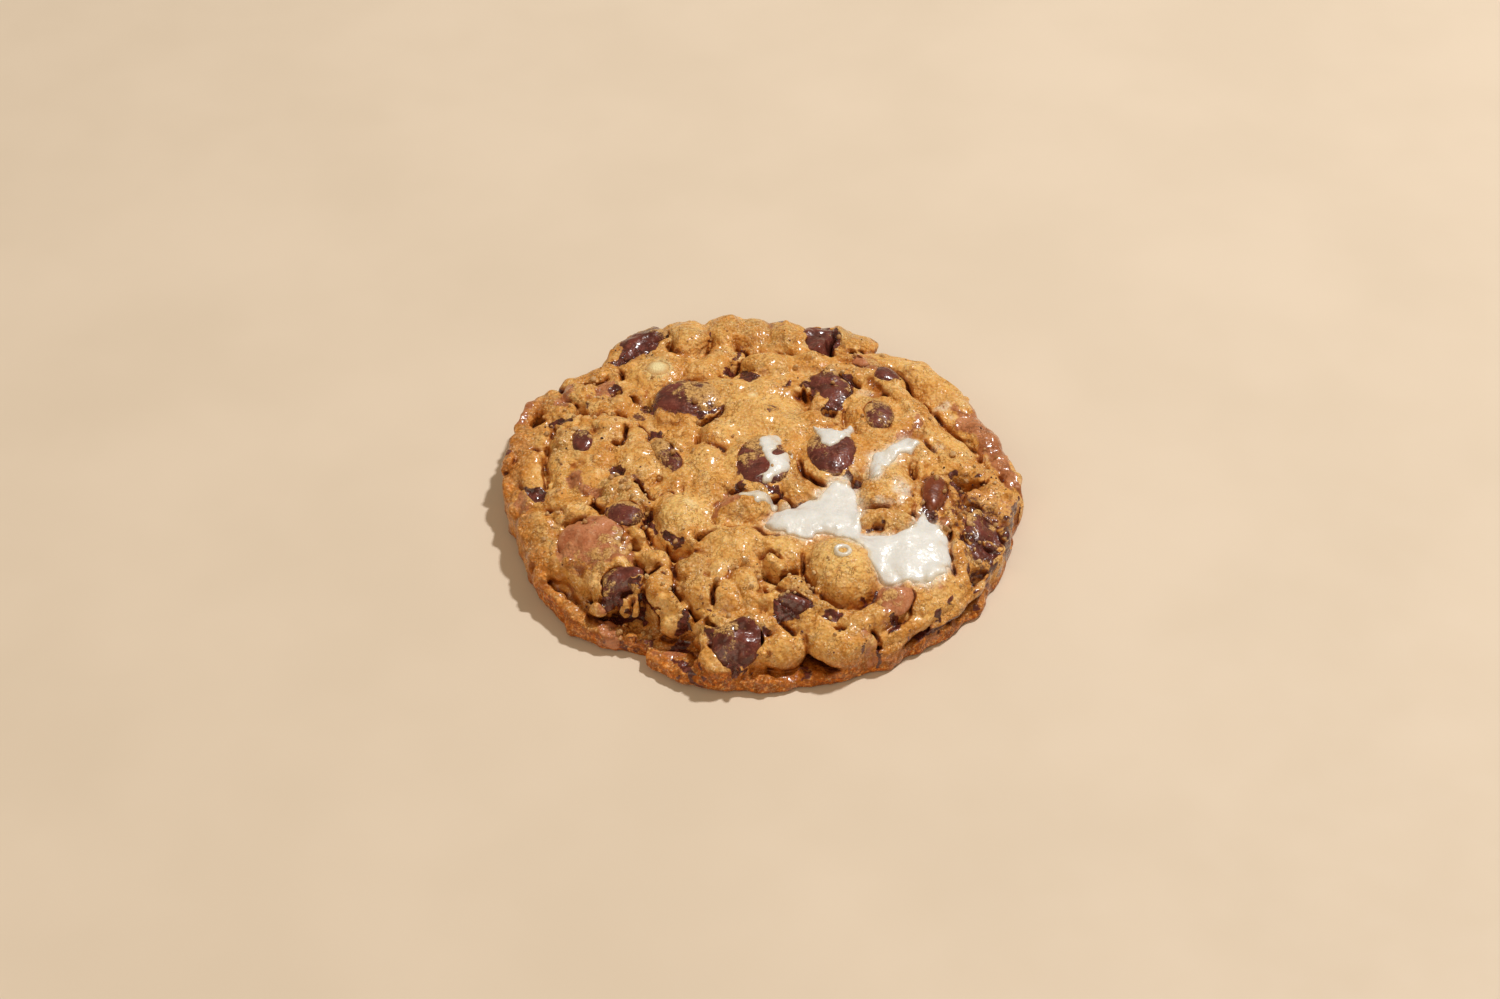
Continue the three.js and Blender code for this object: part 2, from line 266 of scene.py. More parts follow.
# outline and top of the browned skirt, by direction in degrees
SKIRT_R = [(0, 58.8), (15, 56.5), (30, 55), (45, 54.2), (60, 54.5), (75, 54.5),
           (90, 56.2), (105, 57.2), (115, 57.5), (130, 56), (150, 58), (165, 59.2),
           (175, 60), (182, 60.9), (190, 60.3), (200, 59.7), (208, 60.4),
           (215, 60.5), (222, 60.3), (228, 59.9), (232.5, 59.2), (236.5, 57.5),
           (240, 55.8), (242.0, 55.2), (243.4, 59.0), (248, 60.7), (255, 60.8),
           (262, 60.4), (270, 60.1), (276, 59.7), (284, 59.4), (293, 59.0),
           (303, 58.8), (312, 59.1), (322, 59.2), (336, 59.2), (350, 60.2),
           (360, 58.8)]
SKIRT_Z = [(0, 4.2), (90, 4.2), (180, 4.0), (200, 4.6), (208, 6.0), (215, 6.2),
           (222, 6.2), (230, 6.0), (236, 5.4), (241, 5.0), (243.5, 3.9),
           (250, 3.7), (262, 3.5), (280, 3.7), (300, 4.2), (330, 4.4), (360, 4.2)]
# how far inside the skirt's edge the plain upper body ends
UPPER_IN = [(0, 2.0), (60, 1.5), (120, 1.5), (160, 1.5), (200, 2.0), (206, 2.4),
            (213, 3.4), (219, 4.8), (224, 5.8), (228, 6.8), (233, 8.4), (237, 8.0),
            (241, 6.0), (244, 8.0), (252, 9.4), (285, 7.6), (300, 5.0), (320, 3.0),
            (340, 2.2), (360, 2.0)]
# where the upper mass ends above the ledge, by direction
LIP = [(0, 75), (198, 75), (203, 62), (207, 60.4), (210, 58.8), (213, 57.6), (217, 56.2),
       (222, 55.2), (227, 54.6), (231, 54.2), (234, 53.2), (237, 52.0), (240, 52.0),
       (243, 53.6), (247, 52.4), (251, 51.4), (256, 51.4), (260, 54.5), (264, 60),
       (268, 75), (360, 75)]
# farthest reach of the whole cookie, by direction
OUT = [(0, 60.2), (8, 58.4), (15, 57.3), (28, 57.4), (33, 56.3), (38, 54.8), (46, 55.6),
       (52, 55.4), (60, 58.2), (65, 59.2), (72, 61.4), (76, 59.6), (79, 56.5), (85, 56.6),
       (89, 59.0), (95, 59.0), (99, 59.8), (105, 61.4), (110, 63.2), (114, 64.2),
       (118, 63.9), (123, 60.9), (127, 58.6), (132, 58.2), (141, 59.4), (147, 61.2), (154, 63.2),
       (160, 62.4), (166, 61.4), (172, 61.4), (179, 61.0), (186, 59.8), (192, 59.2),
       (201, 58.9), (207, 60.0), (213, 61.8), (220, 62.2), (226, 61.4), (232, 60.0),
       (237, 57.2), (240, 56.4), (242, 56.0), (243.4, 58.6), (248, 59.5), (253, 60.4),
       (257, 60.5), (262, 59.9), (265, 59.8), (270, 60.5), (276, 59.8), (283, 59.3), (291, 59.0),
       (295, 58.8), (302, 59.0), (307, 59.4), (314, 59.8), (321, 60.0), (326, 59.8),
       (336, 59.0), (343, 59.4), (350, 59.4), (360, 60.2)]

# lumps of dough: x, y, half length a, b, turn, rise above the crown, [half
# height c], [softness of its join]
LUMPS = [
    # thick side, left to right
    (-20, 50.2, 6.6, 9.4, 4, 2.1, 6.6), (-26.4, 43.4, 2.9, 3.4, 20, 0.2),
    (-36.6, 42.3, 4.6, 3.2, 35, 0.6), (-40.6, 37.2, 6.0, 4.0, 30, 0.1),
    (-45.6, 33.4, 3.8, 3.6, 30, -0.2), (-32.2, 38.6, 3.0, 2.6, 0, 0.1),
    (-26.2, 33.8, 8.6, 7.6, 0, 1.0, 6.0), (-14.6, 33.4, 5.4, 5.6, -40, 0.3),
    (-20.5, 37.6, 5.6, 4.0, -25, 0.5), (-51.4, 26.6, 4.2, 6.0, 20, 0.4),
    (-56.6, 24.2, 3.0, 7.2, -12, 0.3), (-43.6, 28.4, 4.8, 4.6, 20, 0.6),
    (-47.6, 21.4, 4.2, 3.8, 0, 0.2), (-39.4, 22.4, 3.6, 4.6, 20, 0.5),
    (-44.4, 17.0, 4.4, 3.2, 10, 0.3), (-36.6, 13.2, 4.6, 6.0, 15, 0.9),
    (-34.2, 22.2, 3.4, 4.6, -20, 0.7), (-30.6, 25.6, 3.2, 2.6, -35, 0.3),
    (-40.2, 15.4, 3.6, 3.6, 0, 0.3), (-56.2, 12.2, 3.9, 7.0, 8, 0.5),
    (-58.6, 6.6, 2.2, 3.0, 0, 0.0), (-51.6, 12.6, 3.2, 4.8, 0, 0.1),
    (-44.6, 8.6, 5.6, 6.6, 0, 0.9, 5.0), (-37.2, 6.8, 3.2, 3.6, 0, 0.4),
    (-46.8, 3.2, 4.6, 3.4, 10, 0.5), (-29.8, 2.0, 5.4, 7.6, -20, 0.9, 5.2),
    (-27.2, -4.6, 4.6, 5.2, -20, 0.7), (-30.4, 9.0, 4.0, 4.6, 20, 0.2),
    (-23.2, 5.0, 4.0, 3.2, -28, 0.9), (-53.6, 0.4, 3.4, 7.4, 6, 0.3),
    (-46.2, -2.6, 3.6, 5.0, 10, 0.4), (-40.6, -4.8, 4.8, 5.6, 25, 0.7),
    (-37.2, 0.8, 3.6, 3.4, 0, 0.4), (-52.4, -15.8, 5.6, 5.0, -20, 0.5),
    (-47.4, -8.2, 4.0, 4.6, 10, 0.4), (-43.0, -13.8, 6.4, 3.5, -30, 0.8),
    (-38.4, -16.0, 2.9, 2.8, 0, 0.2), (-33.6, -9.4, 4.6, 4.8, 15, 0.8),
    (-28.8, -12.2, 4.4, 4.4, -10, 0.8), (-32.2, -15.2, 4.2, 3.4, 0, 0.4),
    (-18.2, -18.6, 6.9, 8.4, 14, 1.3, 6.2), (-16.2, -25.6, 3.8, 3.8, 10, 0.7),
    (-21.6, -25.0, 3.8, 4.6, 20, 0.5), (-14.6, -0.6, 6.2, 8.2, 14, 0.9, 5.5),
    (-12.0, -8.6, 4.4, 4.8, 0, 0.5), (-10.6, 8.0, 5.2, 5.6, 0, 0.9),
    # the smooth middle
    (-2.4, 16.0, 12.4, 9.6, -6, 1.0, 6.5, 1.6), (5.8, 10.4, 6.4, 6.0, 10, 0.6, 5, 1.6),
    (-8.6, 24.4, 6.6, 4.6, -20, 0.5, 5, 1.6), (2.0, 24.0, 6.2, 3.8, 10, 0.4, 4, 1.2),
    (12.2, 13.4, 4.6, 5.4, 10, 0.5), (7.0, 2.6, 3.4, 6.0, 0, 0.3, 4, 1.4),
    # back of the middle
    (-10.2, 38.2, 5.4, 7.0, -22, 0.5), (-11.4, 44.4, 3.2, 2.9, 0, 0.4),
    (0.8, 36.6, 7.0, 5.4, 12, 1.0, 5.0), (12.2, 36.6, 7.4, 4.9, -4, 0.8, 4.6),
    (16.8, 40.8, 3.6, 2.6, -20, 0.3), (-9.6, 53.4, 6.6, 6.9, 0, 1.9, 6.6),
    (-3.0, 52.2, 6.4, 5.6, 10, 1.5, 6.0), (5.0, 50.2, 6.6, 6.6, -4, 1.5, 6.2),
    (9.0, 47.4, 3.4, 5.8, 0, 0.6, 4.6), (20.6, 50.6, 3.0, 4.2, 0, 0.7),
    (25.0, 48.2, 3.6, 4.4, 20, 0.7), (23.6, 45.4, 2.2, 2.0, 0, 0.5),
    (23.9, 31.9, 2.5, 2.9, 0, 0.9, 3.0, 0.4), (7.4, 24.6, 2.2, 2.8, 10, 0.6, 2.6, 0.5),
    (12.8, 20.8, 3.0, 3.3, -20, 0.6, 3.2, 0.5),
    # right of the middle
    (30.4, 40.6, 5.6, 4.6, -35, 0.5, 4.6, 1.4), (37.0, 36.6, 6.4, 5.8, -38, 0.6, 5, 1.6),
    (42.6, 30.4, 5.6, 7.8, 36, 0.7, 5, 1.6), (46.2, 23.6, 4.0, 5.4, 30, 0.5),
    (24.6, 17.6, 5.5, 9.2, 0, 1.2, 5.2), (31.6, 25.2, 2.4, 6.0, 16, 0.4),
    (34.4, 20.0, 2.8, 9.6, 14, 0.7, 4.0, 1.2), (38.2, 14.6, 3.2, 9.2, 20, 0.8, 4.2, 1.2),
    (31.6, 10.6, 3.9, 7.6, -16, 0.6, 4.2, 1.2), (44.6, 8.4, 4.8, 7.8, 28, 1.0, 5, 1.2),
    (45.6, -0.2, 5.0, 4.6, 0, 0.9), (41.2, 2.6, 2.8, 5.2, 8, 0.7),
    (36.6, 4.2, 2.9, 5.4, 6, 0.7), (51.8, 13.4, 3.8, 9.4, 20, 0.4, 4.6, 1.4),
    (55.6, 4.6, 2.6, 5.2, 8, 0.1), (53.0, -5.6, 4.8, 6.4, -12, 0.9, 4.6),
    (57.8, -1.6, 2.7, 2.6, 0, 0.4), (56.4, -10.4, 2.8, 4.6, -10, 0.4),
    (48.2, -9.0, 3.2, 3.4, 0, 0.6), (28.6, -7.2, 7.0, 6.4, 0, 1.5, 5.2),
    (28.8, -12.6, 6.6, 4.6, 0, 1.2, 4.4), (36.2, -2.9, 2.0, 2.9, 0, 1.0, 3.0, 0.5),
    (29.4, 2.8, 6.0, 5.4, -40, 0.4, 4, 1.4), (26.8, -19.0, 5.4, 3.7, 4, 1.2, 4.0, 0.6),
    (31.0, -18.8, 3.2, 3.2, 0, 0.8), (42.9, -8.4, 1.7, 4.9, 6, 0.8, 3.2, 0.5),
    (7.6, -10.6, 4.4, 4.6, 0, 0.2), (12.0, -10.4, 3.2, 3.6, 0, 0.0),
    (-3.7, -17.2, 6.0, 4.1, -12, 1.5, 4.2, 0.4), (5.8, -15.0, 2.2, 1.8, 20, 0.3),
    # front
    (17.2, -34.0, 8.3, 9.0, 6, 2.5, 7.4, 0.3), (-6.4, -26.6, 9.0, 5.0, 6, 0.9, 5.2, 1.6),
    (-6.2, -33.0, 6.6, 4.6, 0, 0.5, 4.4, 1.6), (4.4, -29.0, 5.8, 3.5, -14, 0.7, 4.0, 1.2),
    (-16.2, -34.2, 4.8, 5.0, 10, 0.8, 4.6), (-15.2, -41.0, 4.7, 4.9, 10, 0.7, 4.6),
    (-10.6, -36.4, 2.8, 4.2, 0, 0.4), (-24.6, -32.6, 4.2, 4.2, -10, 0.6),
    (-23.2, -37.0, 2.8, 2.6, 0, 0.2), (-29.5, -24.4, 3.3, 2.9, -15, 1.2, 3.2, 0.35),
    (-49.6, -25.0, 4.6, 6.6, 22, 0.4), (-51.6, -20.4, 4.4, 3.6, 0, 0.2),
    (-44.6, -29.4, 4.4, 4.6, 38, 0.4), (-49.6, -29.0, 2.8, 3.4, 30, 0.0), (-34.0, -33.6, 4.2, 3.2, -20, 0.8),
    (-39.2, -33.2, 3.6, 3.2, -20, 0.4), (-38.0, -35.8, 4.4, 3.0, -38, 0.5),
    (-29.4, -41.8, 2.7, 2.2, 10, 0.8, 2.8, 0.35),
    (-24.2, -40.2, 3.1, 4.2, 20, 0.8), (-19.9, -45.0, 3.4, 5.8, 38, 0.9, 4.4),
    (-25.2, -45.6, 2.2, 2.4, 0, 0.0), (-4.6, -41.2, 3.8, 5.8, 0, 1.0, 4.6, 0.6),
    (0.4, -44.4, 3.0, 3.4, 10, 0.6), (-9.2, -43.2, 3.2, 3.6, 0, 0.4),
    (2.4, -34.0, 3.4, 3.0, -10, 0.8, 3.4, 0.5), (6.8, -33.6, 3.0, 2.4, 10, 0.4),
    (6.0, -39.6, 4.0, 3.6, -12, 0.8, 3.8, 0.5), (3.6, -46.4, 2.4, 2.8, 0, 0.5),
    (12.6, -45.6, 3.4, 2.3, -16, 0.4),
    (34.2, -39.8, 4.4, 3.4, 34, 0.6), (38.6, -35.4, 4.0, 3.6, 40, 0.5), (44.2, -30.4, 2.9, 5.4, -10, 0.6),
    (41.6, -35.6, 2.6, 2.6, 0, 0.3), (-12.6, -50.4, 3.2, 2.2, 0, 0.2),
    # crumbly right rim
    (45.6, -18.4, 2.0, 2.2, 20, 0.8, 2.4, 0.4), (42.4, -16.4, 1.7, 2.6, 0, 0.6, 2.4, 0.4),
    (51.6, -23.4, 1.9, 1.4, -20, 0.7, 2.2, 0.4), (54.6, -24.2, 1.4, 2.2, 0, 0.4, 2.2, 0.4),
    (52.6, -18.6, 3.6, 3.0, 20, 0.2), (43.4, -24.6, 1.9, 3.2, 0, 0.5, 2.6, 0.5),
    (49.6, -27.4, 2.4, 1.6, 30, 0.2, 2.4, 0.5), (48.6, -16.0, 1.8, 1.6, 0, 0.4),
    (46.0, -21.0, 1.5, 1.9, 0, 0.4, 2.2, 0.4), (40.6, -21.4, 1.7, 2.2, 0, 0.3),
]

# rounded masses with their own height: x, y, z, a, b, c, turn, join
BALLS = [
    (-29.4, -42.6, 8.4, 3.4, 2.8, 3.2, 10, 0.4), (-34.6, -41.4, 8.0, 3.6, 3.0, 3.2, -20, 0.4),
    # front lip
    (2.6, -53.4, 6.6, 5.9, 4.5, 4.2, -6, 0.35), (-5.6, -49.4, 9.2, 6.6, 3.8, 3.6, 4, 0.6),
    (-1.2, -47.6, 10.4, 3.6, 2.6, 2.6, 0, 0.7), (14.2, -51.6, 7.2, 7.0, 4.9, 4.4, 4, 0.4),
    (20.4, -51.0, 7.4, 4.4, 3.6, 3.6, 20, 0.8), (-14.6, -49.0, 7.0, 4.8, 3.4, 3.6, -8, 0.6),
    (-20.6, -46.8, 7.4, 4.0, 3.2, 3.6, -20, 0.6), (-13.4, -53.8, 4.2, 2.0, 3.2, 2.2, 35, 0.5),
    # left ledge, toasted
    (-49.4, -31.6, 3.0, 3.6, 2.4, 2.6, -56, 0.7), (-45.4, -36.6, 2.9, 4.0, 2.8, 2.7, -50, 0.6),
    (-40.6, -40.6, 3.0, 4.0, 3.2, 2.8, -45, 0.6), (-35.4, -43.6, 3.2, 3.8, 3.4, 2.7, -34, 0.6),
    (-31.0, -45.4, 3.2, 3.2, 3.2, 2.6, -20, 0.5), (-27.6, -46.4, 2.8, 2.8, 2.6, 2.4, -15, 0.5),
    (-30.2, -43.4, 4.4, 2.4, 1.9, 1.8, 10, 0.5), (-33.8, -43.0, 4.4, 2.2, 1.8, 1.8, -30, 0.5),
    # left rim
    (-57.6, -10.0, 5.4, 2.9, 6.0, 3.6, 8, 0.8), (-55.2, -19.0, 5.6, 3.0, 6.0, 3.8, 18, 0.8),
    (-58.8, -0.6, 5.6, 2.5, 4.0, 3.2, 4, 0.6), (-51.4, -27.6, 6.0, 3.0, 5.4, 3.6, 28, 0.8),
    # right rim
    (57.0, -16.4, 5.0, 2.4, 4.6, 3.4, -16, 0.8), (54.6, -22.8, 5.4, 2.6, 4.6, 3.4, -24, 0.8),
    # thick side, hidden from the front
    (-27.0, 52.0, 6.2, 5.4, 5.6, 4.6, 20, 1.0), (-36.0, 44.0, 5.6, 6.4, 4.6, 4.0, 38, 1.0),
    (-44.4, 35.8, 5.4, 5.8, 4.4, 3.8, 48, 1.0), (-51.8, 27.2, 5.2, 5.0, 4.6, 3.8, 60, 1.0),
    (-56.4, 17.2, 5.0, 3.4, 6.0, 3.8, 10, 1.0), (-16.4, 54.0, 5.6, 5.6, 3.8, 4.2, 0, 0.9),
    (-6.4, 54.6, 5.6, 6.4, 4.0, 4.4, 0, 0.9), (4.6, 52.4, 5.4, 6.2, 4.2, 4.0, -8, 0.9),
    (12.6, 50.0, 4.8, 4.6, 3.6, 3.6, 0, 0.9), (21.8, 48.6, 5.2, 5.4, 4.2, 4.0, -20, 0.9),
    (31.4, 41.8, 5.4, 6.4, 4.4, 4.2, -38, 1.0), (40.4, 34.0, 5.4, 6.2, 4.6, 4.2, -46, 1.0),
    (47.6, 24.6, 5.2, 5.0, 5.4, 4.0, -20, 1.0), (52.8, 15.2, 5.2, 3.8, 6.4, 4.0, 16, 1.0),
    (55.4, 5.4, 5.0, 3.4, 6.0, 3.8, 6, 1.0), (56.4, -4.4, 5.2, 3.6, 5.4, 3.8, -4, 1.0),
]

# folds that run along the rim: radius, flatness, join, points x, y, z
FOLDS = [
    (2.3, 1.1, 0.6, [(44.6, -33.6, 8.0), (40.6, -37.8, 8.2), (37.2, -41.0, 8.0),
                     (33.6, -44.0, 7.6), (29.6, -46.6, 7.2), (25.6, -49.0, 6.8)]),
    (1.7, 1.1, 0.35, [(52.6, -28.0, 6.6), (50.2, -31.6, 6.8), (46.8, -35.0, 6.6),
                      (44.0, -37.6, 6.2), (41.0, -40.4, 5.8), (38.8, -43.0, 5.2),
                      (36.9, -45.4, 4.2)]),
    (1.5, 1.1, 0.35, [(53.6, -28.6, 3.4), (51.0, -33.0, 3.6), (48.2, -36.4, 3.6),
                      (45.2, -39.6, 3.4), (42.4, -42.2, 3.2), (39.6, -44.8, 2.8)]),
    (2.0, 1.05, 0.40, [(21.6, -52.6, 4.4), (24.6, -51.7, 4.6), (27.6, -50.8, 4.6),
                       (30.6, -49.8, 4.4), (33.4, -48.4, 4.2), (35.0, -47.2, 4.0)]),
    (3.0, 1.1, 0.45, [(17.4, -49.6, 9.2), (20.4, -47.2, 9.8), (23.4, -44.8, 10.2),
                      (26.4, -42.6, 10.4), (29.2, -40.8, 10.2)]),
    (1.2, 1.0, 0.5, [(52.4, -29.8, 1.8), (47.4, -36.4, 1.9), (42.2, -42.4, 1.8),
                     (36.4, -47.4, 1.8), (30.2, -51.4, 1.8), (24.4, -54.4, 1.8)]),
    (1.6, 1.1, 0.6, [(-16.6, -55.6, 3.4), (-11.6, -57.6, 2.8), (-6.2, -58.4, 2.4)]),
    (1.5, 1.0, 0.5, [(56.4, -14.0, 2.4), (57.6, -8.4, 2.4), (58.4, -3.0, 2.4)]),
]

